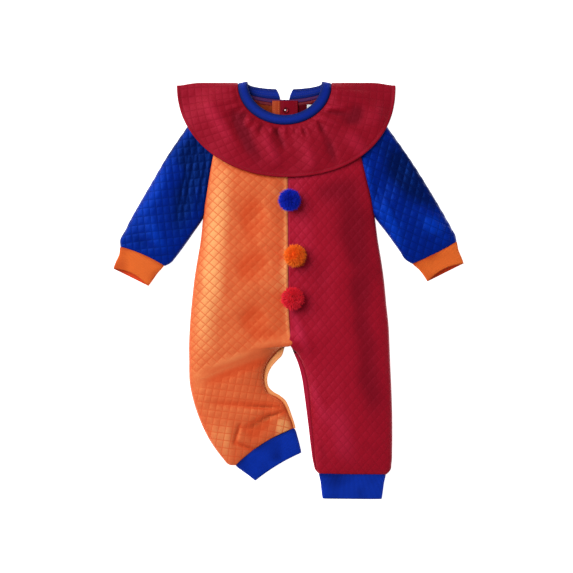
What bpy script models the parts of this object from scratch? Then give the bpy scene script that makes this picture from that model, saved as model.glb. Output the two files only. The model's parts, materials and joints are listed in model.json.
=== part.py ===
"""A baby's clown romper, quilted, laid flat on its back with the legs towards -Y and the front up.

The garment is cut in two colours: the left half orange and the right half crimson, with blue
raglan sleeves, rib cuffs, a rib neckband and a wide gathered ruffle. Every piece of cloth is an
open surface through measured rows, given its thickness by Solidify. The script works in metres;
the tables and sizes are in millimetres. The origin is on the surface that the garment lies on.
"""

import math
from collections import namedtuple

import bmesh
import bpy
from mathutils import Vector
from mathutils.bvhtree import BVHTree

MM = 0.001
DOWN = Vector((0, 0, -1))

# Cloth thicknesses and clearances
GAP = 0.3  # between pieces that are sewn together or lie on each other
RAGLAN_ROOM = 0.45  # kept by the sleeves at their seams, where the two pieces slope apart
QUILT = 2.4  # quilted jersey
RIB = 1.8  # rib of the cuffs
NECK_RIB = 2.6  # neckband: rib folded double
FRILL = 1.6  # ruffle
LEG_STRIP = 2.8  # inner leg band, folded double
PLACKET = 1.6
LABEL = 1.0

# Heights of the middle of the cloth above the surface
BACK_Z = QUILT / 2
EDGE_Z = QUILT + GAP + LEG_STRIP + GAP + QUILT / 2  # front cloth along its outer edges
CURL = EDGE_Z - GAP - QUILT - BACK_Z  # how far the back's side edges curl up to meet the front
CURL_WIDTH = 15.0
CROWN_POWER = 3.0  # roundness of a stuffed profile: 2 is an ellipse, and higher is flatter on top
FREE_FROM = 0.94  # an edge with this much freedom or less is sewn down flat, and doesn't curl
FRILL_BACK_Z = FRILL / 2
ABOVE_ALL = 200.0

# Shares of a row's width at which the rows are divided, close together where the cloth rolls
FRONT_STEPS = (0, 0.03, 0.08, 0.18, 0.34, 0.52, 0.7, 0.84, 0.93, 0.975, 1)
BACK_STEPS = (0, 0.08, 0.3, 0.7, 0.88, 0.95, 1)
SLEEVE_BACK_STEPS = (0, 0.07, 0.2, 0.55, 0.86)
SLEEVE_FRONT_STEPS = (0.94, 0.85, 0.65, 0.4, 0.2, 0.07, 0)
SLEEVE_FOLD_TURNS = (-90, -45, 0, 45)
STRIP_STEPS = (0, 0.5, 1)
CENTRE_X = -0.8  # centre seams of the front and the back

Row = namedtuple("Row", "rim_x rim_y in_x in_y out_x out_y sag in_free out_free puff")
Yoke = namedtuple("Yoke", "in_x in_y out_x out_y sag out_free puff")
Arm = namedtuple("Arm", "in_x in_y back_x back_y out_x out_y sag in_free puff")
Cuff = namedtuple("Cuff", "in_x in_y out_x out_y sag height lip")
Fold = namedtuple("Fold", "start_x start_y end_x end_y width depth")
Ring = namedtuple("Ring", "centre_x fold_y width front back top_z bottom_z bulge left_power right_power")
Pompom = namedtuple("Pompom", "x y radius height")

# Body rows from under the ruffle to the ankle. rim is the back's inner edge, in the front's inner
# edge, out the side seam. in_free and out_free are 1 where an edge lies free and rolls down, and 0
# where the cloth goes on into the next piece. puff is how far the front stands above its edges.
ORANGE_ROWS = (
    Row(CENTRE_X, 180, CENTRE_X, 180, -100, 183, 0, 0, 0.90, 10.2),
    Row(CENTRE_X, 164, CENTRE_X, 164, -103.5, 166, 0, 0, 0.91, 10.8),
    Row(CENTRE_X, 146, CENTRE_X, 146, -106.5, 148, 0, 0, 0.92, 11.3),
    Row(-0.7, 122, -0.7, 122, -110.5, 122, 0, 0, 0.95, 11.5),
    Row(-0.7, 99, -0.7, 99, -113.8, 98.5, 0, 0, 1, 11.8),
    Row(-0.7, 67, -0.7, 67, -118, 63, 0, 0, 1, 12.2),
    Row(-0.7, 36, -0.7, 36, -122.3, 38, 0, 0, 1, 12.6),
    Row(-0.7, 5, -0.7, 5, -126, 14, 0, 0, 1, 12.6),
    Row(0.6, -25, 0.6, -25, -129.3, -16, 0, 0, 1, 12.2),
    Row(1.9, -52, 1.9, -52, -132, -47, 0, 0.1, 1, 11.6),
    Row(1.6, -68, 2.6, -74, -133.2, -80, 0, 0.6, 1, 11),
    Row(-5.5, -77.7, -10.7, -76.6, -133, -93, 0, 0.9, 1, 10.4),
    Row(-8.5, -87.5, -17, -82.5, -133, -102, 0, 1, 1, 10),
    Row(-15, -94.5, -23.6, -89.7, -132.9, -111, 0, 1, 1, 9.8),
    Row(-23, -104, -31, -101.7, -132.2, -124, 0, 1, 1, 9.8),
    Row(-28, -116, -34.2, -114.5, -129.5, -139, 0, 1, 1, 9.8),
    Row(-27, -129.5, -33, -128, -125, -156, 0, 1, 1, 9.6),
    Row(-20, -137, -28, -138.5, -119, -173, 0, 1, 1, 9.2),
    Row(-12, -141.5, -17, -145, -112.5, -188, 0, 1, 1, 8.8),
    Row(-3.5, -149, -8.6, -151.5, -105, -202, 0, 1, 1, 8.2),
    Row(1, -158.5, -3.8, -160, -97, -214, 1, 1, 1, 7.4),
    Row(4.5, -168.5, -0.3, -169, -88.5, -225, 2.5, 1, 1, 6.2),
    Row(8, -179, 3.8, -179, -79, -234.5, 4, 1, 1, 4.4),
    Row(9.6, -185.5, 5.5, -186, -71, -235, 5, 1, 1, 2.6),
)
RED_ROWS = (
    Row(CENTRE_X, 180, CENTRE_X, 180, 97, 180, 0, 0, 0.90, 10.2),
    Row(CENTRE_X, 164, CENTRE_X, 164, 101.5, 164, 0, 0, 0.91, 10.8),
    Row(CENTRE_X, 146, CENTRE_X, 146, 105.5, 147, 0, 0, 0.92, 11.3),
    Row(-0.7, 122, -0.7, 122, 111, 122, 0, 0, 0.95, 11.5),
    Row(-0.7, 99, -0.7, 99, 115, 100.5, 0, 0, 1, 11.8),
    Row(-0.7, 67, -0.7, 67, 120, 64, 0, 0, 1, 12.2),
    Row(-0.7, 36, -0.7, 36, 124.5, 37, 0, 0, 1, 12.6),
    Row(-0.7, 5, -0.7, 5, 128, 11.5, 0, 0, 1, 12.6),
    Row(0.6, -25, 0.6, -25, 131, -20, 0, 0, 1, 12.2),
    Row(1.9, -52, 1.9, -52, 134, -48, 0, 0.1, 1, 11.6),
    Row(1.6, -68, 2.9, -74.5, 135.3, -76, 0, 0.6, 1, 11),
    Row(7.3, -85, 12.5, -84.5, 135.9, -91, 0, 0.9, 1, 10.4),
    Row(13, -99, 20, -100, 136.5, -106, 0, 1, 1, 10),
    Row(18, -118, 25.5, -119, 137.4, -124, 0, 1, 1, 9.8),
    Row(21.3, -140, 28.8, -140, 138.2, -145, 0, 1, 1, 9.6),
    Row(24.3, -163, 30.8, -163, 138.8, -167, 0, 1, 1, 9.2),
    Row(27.3, -187, 32.8, -187, 139, -190, 0, 1, 1, 8.8),
    Row(30.2, -211, 35, -211, 138.8, -213, 0, 1, 1, 7.8),
    Row(33.4, -232, 37, -232, 138, -233, 0, 1, 1, 5.8),
    Row(36.4, -242, 39.2, -242, 136, -242.6, 0, 1, 1, 3.8),
    Row(40.5, -246.4, 42.5, -246.4, 131.5, -247.3, 0, 1, 1, 2.4),
)

# Rows above those, up to the neck seam, for the fronts and the backs
ORANGE_FRONT_YOKE = (Yoke(CENTRE_X, 205, -78, 229, -5, 0.84, 6.5),)
RED_FRONT_YOKE = (Yoke(CENTRE_X, 205, 72, 227, 5, 0.84, 6.5),)
ORANGE_BACK_YOKE = (
    Yoke(CENTRE_X, 236, -64.9, 240.5, -2, 0, 0),
    Yoke(CENTRE_X, 208, -84, 215, 0, 0, 0),
)
RED_BACK_YOKE = (
    Yoke(CENTRE_X, 236, 55.9, 240.5, 2, 0, 0),
    Yoke(CENTRE_X, 208, 77, 214, 0, 0, 0),
)
NECK_PUFF = 3.6  # of the fronts at the neck seam
NECK_OUT_FREE = 0.8

# The largest folds of the bent orange leg: soft troughs, with their full depth along the middle
ORANGE_FOLDS = (
    Fold(-24, -84, -116, -126, 15, 3.2),
    Fold(-14, -158, -84, -158, 9, 3.4),
    Fold(-16, -160, -58, -206, 10, 3.0),
    Fold(-96, -180, -60, -216, 10, 1.8),
)

# Sleeve rows from the cuff to the neck. in is the front's inner edge, which is the underarm seam up
# to the armpit and the raglan seam above it, back is the back's, and out is the fold along the arm.
LEFT_ARM = (
    Arm(-166.6, 33, -166.6, 33, -226.5, 59, 2.5, 1, 2.0),
    Arm(-159, 37, -159, 37, -227, 68, 2, 1, 3.4),
    Arm(-152, 45, -152, 45, -221, 79, 1, 1, 5.2),
    Arm(-140, 61, -140, 61, -213, 95, 0, 1, 6.4),
    Arm(-128.5, 77.5, -128.5, 77.5, -202, 114.5, 0, 1, 6.8),
    Arm(-119, 91, -119, 91, -191, 133.5, 0, 1, 7.2),
    Arm(-115.2, 97.8, -115.2, 97.8, -181, 150.5, 0, 1, 7.2),
    Arm(-111, 122, -111, 122, -166.5, 175.6, 0, 0.5, 4.65),
    Arm(-106.5, 148, -106.5, 148, -151.5, 198.5, 0, 0.5, 5.65),
    Arm(-103.5, 166, -103.5, 166, -141, 213.5, 0, 0.5, 5.7),
    Arm(-100, 183, -100, 183, -130, 228.5, 0, 0.5, 5.65),
    Arm(-89, 206, -92, 199, -116, 245, 0, 0.5, 5.1),
    Arm(-78, 229, -84, 215, -98, 260, 0, 0.5, 4.5),
)
RIGHT_ARM = (
    Arm(166.6, 36, 166.6, 36, 226.5, 66, -1.5, 1, 2.0),
    Arm(158, 41.5, 158, 41.5, 225.5, 72, -1, 1, 3.4),
    Arm(150.5, 52.7, 150.5, 52.7, 220, 83, 0, 1, 5.2),
    Arm(141, 66, 141, 66, 210, 101, 0, 1, 6.4),
    Arm(131.5, 79, 131.5, 79, 198.5, 121, 0, 1, 6.8),
    Arm(121, 92.5, 121, 92.5, 188.5, 137.5, 0, 1, 7.2),
    Arm(116.4, 99.8, 116.4, 99.8, 178, 154.5, 0, 1, 7.2),
    Arm(111.5, 122, 111.5, 122, 163.5, 177, 0, 0.5, 4.65),
    Arm(105.5, 147, 105.5, 147, 148.5, 198.5, 0, 0.5, 5.65),
    Arm(101.5, 164, 101.5, 164, 138, 213, 0, 0.5, 5.7),
    Arm(97, 180, 97, 180, 127, 228, 0, 0.5, 5.65),
    Arm(84.5, 203.5, 87, 197, 111, 245, 0, 0.5, 5.1),
    Arm(72, 227, 77, 214, 92, 260, 0, 0.5, 4.5),
)

# Cuff rings from the seam to the mouth. height is the tube's, and lip is how far the upper side of
# the mouth is drawn back, which shows the inside.
CUFFS = {
    "sleeve_cuff_left": (
        Cuff(-167.2, 32.6, -226.5, 58.6, 2.5, 9.8, 0),
        Cuff(-176.5, 22.5, -228.5, 48, 1, 9.5, 0),
        Cuff(-183, 13.5, -232.5, 38.5, 0, 9.5, 0),
        Cuff(-188.5, 5.5, -236, 29, 0, 9.5, 2),
    ),
    "sleeve_cuff_right": (
        Cuff(167.2, 35.6, 226.5, 65.6, -1.5, 9.8, 0),
        Cuff(176, 27, 229, 54, 0, 9.5, 0),
        Cuff(182, 19.5, 232.5, 45.5, 0, 9.5, 1),
        Cuff(187, 11.5, 236, 36, 0, 10, 5.5),
    ),
    "ankle_cuff_orange_leg": (
        Cuff(8.4, -187.4, -70.3, -236, 5, 10, 0),
        Cuff(11.6, -198, -62, -242.5, 4, 9.7, 0),
        Cuff(14.6, -208.5, -53.5, -249.5, 3, 9.5, 0),
        Cuff(17.6, -218.3, -45, -256.5, 2.5, 9.4, 0),
    ),
    "ankle_cuff_red_leg": (
        Cuff(41, -246.9, 131, -247.8, 0, 10, 0),
        Cuff(43, -257, 129, -258, 0, 9.7, 0),
        Cuff(44.3, -269, 127.4, -270, 0, 9.5, 0),
        Cuff(45.6, -280.4, 126, -281, 0, 9.4, 0),
    ),
}
RING_POINTS = 16
RING_FLATNESS = 0.55  # power on the ring's cosine and sine: 1 is an ellipse, 0 a box

# Rings round the neck. They are ellipses that lie folded flat, front half over back half: width is
# the half width, front and back are how far each half hangs below the fold, and bulge is how far
# the fold itself stands out beyond it.
SEAM_RING = Ring(-5, 276, 63, 54, 20, 12.2, 3.1, 1.5, 1, 1)
BAND_RING = Ring(-5, 279, 50, 44, 8, 12.6, 1.5, 1, 1, 1)
FRILL_RING = SEAM_RING._replace(bulge=2.6, bottom_z=FRILL_BACK_Z)
HEM_RING = Ring(-3, 276, 147.5, 123.6, 100, 8.5, FRILL_BACK_Z, 4.0, 0.98, 0.91)
FOLD_TURN = 0.12  # sine of the ring's angle over which it turns from front to back
NECKBAND_STATIONS = 46
NECKBAND_CROWN = 0.5
BACK_SLIT_SEAM = 4.4  # half angles in degrees of the back slit: at the neck seam, at the band's edge
BACK_SLIT_BAND = 12.0
FRILL_SLIT = 3.0  # and in the ruffle
LEFT_RAGLAN_BACK, LEFT_RAGLAN_FRONT = 135.6, 209.2  # where the raglan seams meet the neck seam
RIGHT_RAGLAN_BACK, RIGHT_RAGLAN_FRONT = 44.4, -29.2
RAGLAN_TURN = 0.7  # kept clear by the sleeves there
SLEEVE_NECK_BACK, SLEEVE_NECK_FRONT = 0.95, 0.9  # shares of the way from raglan to fold
SLEEVE_NECK_TURN = 6.0  # degrees of the neck seam that the sleeve's fold takes up each way
SLEEVE_NECK_RISE = 2.8  # of the sleeve over its edges at the neck seam
SLEEVE_NECK_BULGE = -2.0

# Ruffle
FRILL_STEPS = (0, 0.14, 0.36, 0.66, 1)
FRILL_FRONT_STATIONS = 54
FRILL_FOLD_STATIONS = 7
FRILL_BACK_STATIONS = 9
GATHERS = 15
GATHER_HEIGHT = 1.6
GATHER_FADE = 1.5  # power by which the gathers die out towards the hem
FRILL_CLEARANCE = 0.7
FRILL_LOOSE_Z = 6.5  # of the front ruffle where no sleeve lies under it
DRAPE_REACH = 11.0
SHOULDER_Y = 270.0  # the cloth under the ruffle ends here, and the ruffle goes on level
BACK_RAISED, BACK_FLAT = 1.12, 1.5  # in radii of the back ruffle: the back cloth comes down between them

# Back opening, label, snaps, pompoms
PLACKET_ROWS = (255.2, 240, 225, 208, 192, 180, 164, 146, 122, 99, 80)
RED_PLACKET = (-10.8, 12.8)
ORANGE_PLACKET = (-21.6, -11.1)
LABEL_BOX = (25, 39, 232, 250)
STRIP_UNDERLAP = 4.0  # of the inner leg band under the front
STRIP_FROM = 0.9  # in_free of the rows that have the band
SNAP_PROFILE = ((0, 0), (3.8, 0), (3.8, 1.1), (2.4, 0.8), (1.3, 0.8), (1.0, 1.9), (0, 1.9))
SNAPS = ((-3.9, 242.2), (-3.9, 178), (-3.9, 114))
SNAP_STEPS = 12
SNAP_MERGE = 0.01
POMPOMS = {
    "pompom_blue": Pompom(1.5, 120, 14.8, 25),
    "pompom_orange": Pompom(8.9, 46, 15.0, 26),
    "pompom_red": Pompom(5.5, -11, 15.4, 26),
}
POMPOM_SEGMENTS = 16
POMPOM_RINGS = 8

# Finish of each material: colour, roughness, metallic
MATERIALS = {
    "orange_quilt": ((0.74, 0.16, 0.05), 0.55, 0),
    "crimson_quilt": ((0.34, 0.008, 0.018), 0.55, 0),
    "blue_quilt": ((0.006, 0.035, 0.36), 0.5, 0),
    "orange_rib": ((0.72, 0.14, 0.025), 0.75, 0),
    "blue_rib": ((0.01, 0.025, 0.3), 0.75, 0),
    "crimson_frill": ((0.36, 0.01, 0.02), 0.6, 0),
    "white_tape": ((0.8, 0.8, 0.78), 0.8, 0),
    "snap_metal": ((0.55, 0.54, 0.52), 0.3, 1),
    "blue_yarn": ((0.004, 0.012, 0.3), 0.9, 0),
    "orange_yarn": ((0.78, 0.16, 0.008), 0.9, 0),
    "red_yarn": ((0.5, 0.012, 0.02), 0.9, 0),
}


def clear_scene():
    for obj in list(bpy.data.objects):
        bpy.data.objects.remove(obj, do_unlink=True)


def new_collection(name):
    collection = bpy.data.collections.new(name)
    bpy.context.scene.collection.children.link(collection)
    return collection


def material(name):
    """The named finish, made once."""
    if name in bpy.data.materials:
        return bpy.data.materials[name]
    colour, roughness, metallic = MATERIALS[name]
    made = bpy.data.materials.new(name)
    made.use_nodes = True
    shader = made.node_tree.nodes["Principled BSDF"]
    shader.inputs["Base Color"].default_value = (*colour, 1)
    shader.inputs["Roughness"].default_value = roughness
    shader.inputs["Metallic"].default_value = metallic
    return made


def add_object(name, mesh, finish, collection):
    mesh.materials.append(material(finish))
    mesh.shade_smooth()
    obj = bpy.data.objects.new(name, mesh)
    collection.objects.link(obj)
    return obj


def smooth_step(low, high, value):
    """0 up to low and 1 from high, with a smooth rise between them."""
    share = min(max((value - low) / (high - low), 0), 1)
    return share * share * (3 - 2 * share)


def grid_mesh(name, rows, closed=False):
    """An open surface through rows of points; closed joins the end of each row to its start."""
    mesh = bpy.data.meshes.new(name)
    sheet = bmesh.new()
    verts = [[sheet.verts.new(point * MM) for point in row] for row in rows]
    for near, far in zip(verts, verts[1:]):
        count = len(near)
        for i in range(count if closed else count - 1):
            j = (i + 1) % count
            sheet.faces.new((near[i], near[j], far[j], far[i]))
    sheet.to_mesh(mesh)
    sheet.free()
    return mesh


def cloth(name, rows, thickness, finish, collection, closed=False):
    """A piece of cloth whose middle surface goes through rows."""
    obj = add_object(name, grid_mesh(name, rows, closed), finish, collection)
    wall = obj.modifiers.new("Thickness", "SOLIDIFY")
    wall.thickness = thickness * MM
    wall.offset = 0
    wall.use_even_offset = True
    wall.use_quality_normals = True
    return obj


def pull_in(rows):
    """Draws the first and last rows in by half the gap, to leave it whole between sewn pieces."""
    for edge, inner in ((0, 1), (-1, -2)):
        rows[edge] = [p + (q - p).normalized() * (GAP / 2) for p, q in zip(rows[edge], rows[inner])]
    return rows


def across(start, end, sag, shares, inset=GAP / 2):
    """Points in plan from start to end, bowed by sag at the middle. inset is left clear at the start,
    and half a gap at the end."""
    along = (end - start).normalized()
    start, end = start + along * inset, end - along * (GAP / 2)
    bow = Vector((-along.y, along.x, 0)) * (-sag if along.x < 0 else sag)
    return [start.lerp(end, s) + bow * (4 * s * (1 - s)) for s in shares]


def row_plan(row, shares):
    """A row's points in plan, from its inner end to its outer end."""
    return across(Vector((row.in_x, row.in_y, 0)), Vector((row.out_x, row.out_y, 0)), row.sag, shares)


def up(height):
    return Vector((0, 0, height))


def crown(share, in_free, out_free):
    """Height of a stuffed profile, 0 at a free edge and 1 on top."""
    return math.sqrt(max(0, 1 - abs((in_free + out_free) * share - in_free) ** CROWN_POWER))


def fold_depth(point, folds):
    """Depth of the deepest fold at a point: full along the fold's middle, fading to its ends and sides."""
    deepest = 0
    for fold in folds:
        start = Vector((fold.start_x, fold.start_y, 0))
        run = Vector((fold.end_x, fold.end_y, 0)) - start
        to_point = Vector((point.x, point.y, 0)) - start
        along = to_point.dot(run) / run.length_squared
        if 0 < along < 1:
            aside = (to_point - run * along).length / fold.width
            deepest = max(deepest, fold.depth * math.sin(math.pi * along) ** 0.5 * math.exp(-aside * aside))
    return deepest


def frill_lift(x, y):
    """How far the back cloth is raised by the back half of the ruffle, which lies under it."""
    reach = math.hypot((x - HEM_RING.centre_x) / HEM_RING.width, (y - HEM_RING.fold_y) / HEM_RING.back)
    return (FRILL + GAP) * (1 - smooth_step(BACK_RAISED, BACK_FLAT, reach))


def ring_point(ring, degrees, outset=0):
    """A point of a neck ring. 90 degrees is the centre back, 180 the left fold, 270 the front."""
    turn = math.radians(degrees)
    cosine, sine = math.cos(turn), math.sin(turn)
    power = ring.left_power if cosine < 0 else ring.right_power
    drop = (ring.front if sine < 0 else ring.back) + outset
    over = math.sin(min(max(sine / FOLD_TURN, -1), 1) * math.pi / 2)
    return Vector((
        ring.centre_x + math.copysign((ring.width + outset) * abs(cosine) ** power, cosine),
        ring.fold_y - drop * abs(sine) ** power + (ring.bulge + outset) * math.sqrt(1 - over * over),
        ring.bottom_z + (ring.top_z - ring.bottom_z) * (1 - over) / 2,
    ))


def front_rows(rows, yoke, raglan, side):
    """The middle surface of one front. side is -1 for the left half and 1 for the right half."""
    from_centre = (CENTRE_X - SEAM_RING.centre_x + side * GAP / 2) / SEAM_RING.width
    neck_start = 270 + math.degrees(math.asin(from_centre))
    neck_end = raglan if side < 0 else 360 + raglan
    made = []
    neck = []
    for share in FRONT_STEPS:
        point = ring_point(SEAM_RING, neck_start + (neck_end - neck_start) * share, GAP / 2)
        neck.append(Vector((point.x, point.y, EDGE_Z + NECK_PUFF * crown(share, 0, NECK_OUT_FREE))))
    made.append(neck)
    for row in yoke:
        plan = row_plan(row, FRONT_STEPS)
        made.append([
            p + up(EDGE_Z + row.puff * crown(s, 0, row.out_free)) for p, s in zip(plan, FRONT_STEPS)
        ])
    folds = ORANGE_FOLDS if side < 0 else ()
    for row in rows:
        plan = row_plan(row, FRONT_STEPS)
        made.append([
            p + up(EDGE_Z + (row.puff - fold_depth(p, folds)) * crown(s, row.in_free, row.out_free))
            for p, s in zip(plan, FRONT_STEPS)
        ])
    made[-1:] = pull_in(made[-2:])[-1:]
    return made


def curl(distance):
    """How far the back stands off the surface at this distance from its side edge."""
    return CURL * max(0, 1 - distance / CURL_WIDTH) ** 2


def back_rows(rows, yoke, raglan, side):
    """The middle surface of one back, which lies on the surface and on the ruffle."""
    from_centre = (CENTRE_X - SEAM_RING.centre_x + side * GAP / 2) / SEAM_RING.width
    neck_start = math.degrees(math.acos(from_centre))
    made = []
    neck = []
    for share in BACK_STEPS:
        point = ring_point(SEAM_RING, neck_start + (raglan - neck_start) * share, GAP / 2)
        neck.append(Vector((point.x, point.y, SEAM_RING.bottom_z)))
    made.append(neck)
    for row in yoke:
        made.append([p + up(BACK_Z + frill_lift(p.x, p.y)) for p in row_plan(row, BACK_STEPS)])
    for row in rows:
        outer = Vector((row.out_x, row.out_y, 0))
        plan = across(Vector((row.rim_x, row.rim_y, 0)), outer, row.sag, BACK_STEPS)
        side_curl = smooth_step(FREE_FROM, 1, row.out_free)
        made.append([
            p + up(BACK_Z + frill_lift(p.x, p.y) + side_curl * curl((p - outer).length)) for p in plan
        ])
    made[-1:] = pull_in(made[-2:])[-1:]
    return made


def leg_strip_rows(rows):
    """The inner leg band: on the back's inner edge, and a little way under the front."""
    made = []
    for row in rows:
        if row.in_free < STRIP_FROM:
            continue
        rim, outer = Vector((row.rim_x, row.rim_y, 0)), Vector((row.out_x, row.out_y, 0))
        groove = Vector((row.in_x, row.in_y, 0))
        inner = groove + (outer - rim).normalized() * STRIP_UNDERLAP
        lift = up(QUILT + GAP + LEG_STRIP / 2)
        made.append([p + lift for p in across(rim, inner, 0, STRIP_STEPS)])
    return pull_in(made)


def sleeve_rows(table, side):
    """A sleeve: the back from its inner edge out to the fold, round the fold, and the front back in."""
    radius = (EDGE_Z - BACK_Z) / 2
    made = []
    for row in table:
        outer = Vector((row.out_x, row.out_y, 0))
        back_in, front_in = Vector((row.back_x, row.back_y, 0)), Vector((row.in_x, row.in_y, 0))
        out_way = (outer - front_in).normalized()
        hinge = outer - out_way * (radius + QUILT / 2)
        points = []
        underarm = smooth_step(FREE_FROM, 1, row.in_free)
        for p in across(back_in, hinge, row.sag, SLEEVE_BACK_STEPS, RAGLAN_ROOM):
            points.append(p + up(BACK_Z + frill_lift(p.x, p.y) + underarm * curl((p - back_in).length)))
        low = BACK_Z + frill_lift(hinge.x, hinge.y)
        rise = (EDGE_Z - low) / 2
        for turn in SLEEVE_FOLD_TURNS:
            angle = math.radians(turn)
            level = low + rise * (1 + math.sin(angle))
            points.append(hinge + out_way * (radius * math.cos(angle)) + up(level))
        width = (outer - front_in).length
        plan = across(front_in, hinge, row.sag, SLEEVE_FRONT_STEPS, RAGLAN_ROOM)
        for p, s in zip(plan, SLEEVE_FRONT_STEPS):
            share = s * (1 - radius / width)
            points.append(p + up(EDGE_Z + row.puff * crown(share, row.in_free, 1)))
        made.append(points)
    turns = (LEFT_RAGLAN_BACK, LEFT_RAGLAN_FRONT) if side < 0 else (RIGHT_RAGLAN_BACK, RIGHT_RAGLAN_FRONT)
    made.append(sleeve_neck_row(turns[0] - side * RAGLAN_TURN, turns[1] + side * RAGLAN_TURN, side))
    made[:1] = pull_in(made[:2])[:1]
    return made


def sleeve_neck_row(back_turn, front_turn, side):
    """The sleeve's last row, along the neck seam over the shoulder."""
    fold_angle = 180 if side < 0 else 0
    ring = SEAM_RING._replace(top_z=EDGE_Z + SLEEVE_NECK_RISE, bulge=SLEEVE_NECK_BULGE)
    back_way = (fold_angle - back_turn) * SLEEVE_NECK_BACK
    front_way = (fold_angle - front_turn) * SLEEVE_NECK_FRONT
    turns = [back_turn + back_way * share for share in SLEEVE_BACK_STEPS]
    turns += [fold_angle - side * SLEEVE_NECK_TURN * turn / 90 for turn in SLEEVE_FOLD_TURNS]
    turns += [front_turn + front_way * share for share in SLEEVE_FRONT_STEPS]
    return [ring_point(ring, turn, GAP) for turn in turns]


def cuff_rows(table):
    """Rings of a rib tube, flattened by lying on the surface."""
    made = []
    for row in table:
        inner, outer = Vector((row.in_x, row.in_y, 0)), Vector((row.out_x, row.out_y, 0))
        along = (outer - inner).normalized()
        normal = Vector((-along.y, along.x, 0))
        if normal.y < 0:
            normal.negate()
        half_width = (outer - inner).length / 2 - RIB / 2
        half_height = (row.height - RIB) / 2
        ring = []
        for i in range(RING_POINTS):
            turn = 2 * math.pi * i / RING_POINTS
            c, s = math.cos(turn), math.sin(turn)
            reach = math.copysign(abs(c) ** RING_FLATNESS, c)
            rise = math.copysign(abs(s) ** RING_FLATNESS, s)
            bow = (row.sag + row.lip * max(0, rise)) * (1 - reach * reach)
            plan = (inner + outer) / 2 + along * (half_width * reach) + normal * bow
            ring.append(plan + up(row.height / 2 + half_height * rise))
        made.append(ring)
    return made


def surface_tree(*surfaces):
    """Something to drop points onto: the middle surfaces given as rows."""
    points, faces = [], []
    for rows in surfaces:
        width = len(rows[0])
        first = len(points)
        points.extend(p for row in rows for p in row)
        for j in range(len(rows) - 1):
            for i in range(width - 1):
                a = first + j * width + i
                faces.append((a, a + 1, a + 1 + width, a + width))
    return BVHTree.FromPolygons(points, faces)


def height_on(tree, x, y, reach=0, floor=0):
    """The highest middle surface near a point in plan."""
    highest = floor
    eighths = [k * math.pi / 4 for k in range(8)]
    for dx, dy in [(0, 0)] + [(reach * math.cos(turn), reach * math.sin(turn)) for turn in eighths]:
        hit = tree.ray_cast(Vector((x + dx, y + dy, ABOVE_ALL)), DOWN)[0]
        if hit:
            highest = max(highest, hit.z)
    return highest


def frill_turns():
    """The ruffle's stations from one side of the back slit, over the front, to the other side."""
    fold = math.degrees(math.asin(FOLD_TURN))
    stretches = (
        (90 + FRILL_SLIT, 180 - fold, FRILL_BACK_STATIONS),
        (180 - fold, 180 + fold, FRILL_FOLD_STATIONS),
        (180 + fold, 360 - fold, FRILL_FRONT_STATIONS),
        (360 - fold, 360 + fold, FRILL_FOLD_STATIONS),
        (360 + fold, 450 - FRILL_SLIT, FRILL_BACK_STATIONS),
    )
    turns = [start + (end - start) * i / count for start, end, count in stretches for i in range(count)]
    return turns + [450 - FRILL_SLIT]


def gather(turn):
    """0 to 1 along the neck seam: uneven gathers."""
    t = math.radians(turn)
    return 0.5 + 0.5 * math.sin(2 * GATHERS * t + 1.3 * math.sin(5 * t))


def frill_rows(tree):
    """The ruffle: its back half flat on the surface, its front half over the fronts and sleeves."""
    rise = QUILT / 2 + GAP + FRILL / 2 + FRILL_CLEARANCE
    made = []
    for turn in frill_turns():
        inner = ring_point(FRILL_RING, turn, GAP)
        outer = ring_point(HEM_RING, turn)
        over = math.sin(min(max(math.sin(math.radians(turn)) / FOLD_TURN, -1), 1) * math.pi / 2)
        front_share = (1 - over) / 2
        row = []
        for share in FRILL_STEPS:
            p = inner.lerp(outer, share)
            top = height_on(tree, p.x, min(p.y, SHOULDER_Y), DRAPE_REACH, FRILL_LOOSE_Z - rise) + rise
            top += GATHER_HEIGHT * gather(turn) * (1 - share) ** GATHER_FADE
            row.append(Vector((p.x, p.y, FRILL_BACK_Z + (top - FRILL_BACK_Z) * front_share)))
        made.append(row)
    return made


def neckband_rows():
    """The neckband from one side of the back slit, over the front, to the other side."""
    made = []
    for i in range(NECKBAND_STATIONS + 1):
        share = i / NECKBAND_STATIONS
        seam_turn = 90 + BACK_SLIT_SEAM + (360 - 2 * BACK_SLIT_SEAM) * share
        band_turn = 90 + BACK_SLIT_BAND + (360 - 2 * BACK_SLIT_BAND) * share
        seam = ring_point(SEAM_RING, seam_turn, -GAP / 2 - NECK_RIB / 4)
        edge = ring_point(BAND_RING, band_turn)
        made.append([seam, (seam + edge) / 2 + up(NECKBAND_CROWN), edge])
    return made


def flat_strip_rows(left, right, ys, lift):
    """A strip that lies on the inside of the back, this far above the middle of its cloth."""
    heights = [BACK_Z + frill_lift(left, y) + lift for y in ys]
    return [[Vector((left + (right - left) * s, y, z)) for s in STRIP_STEPS] for y, z in zip(ys, heights)]


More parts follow.
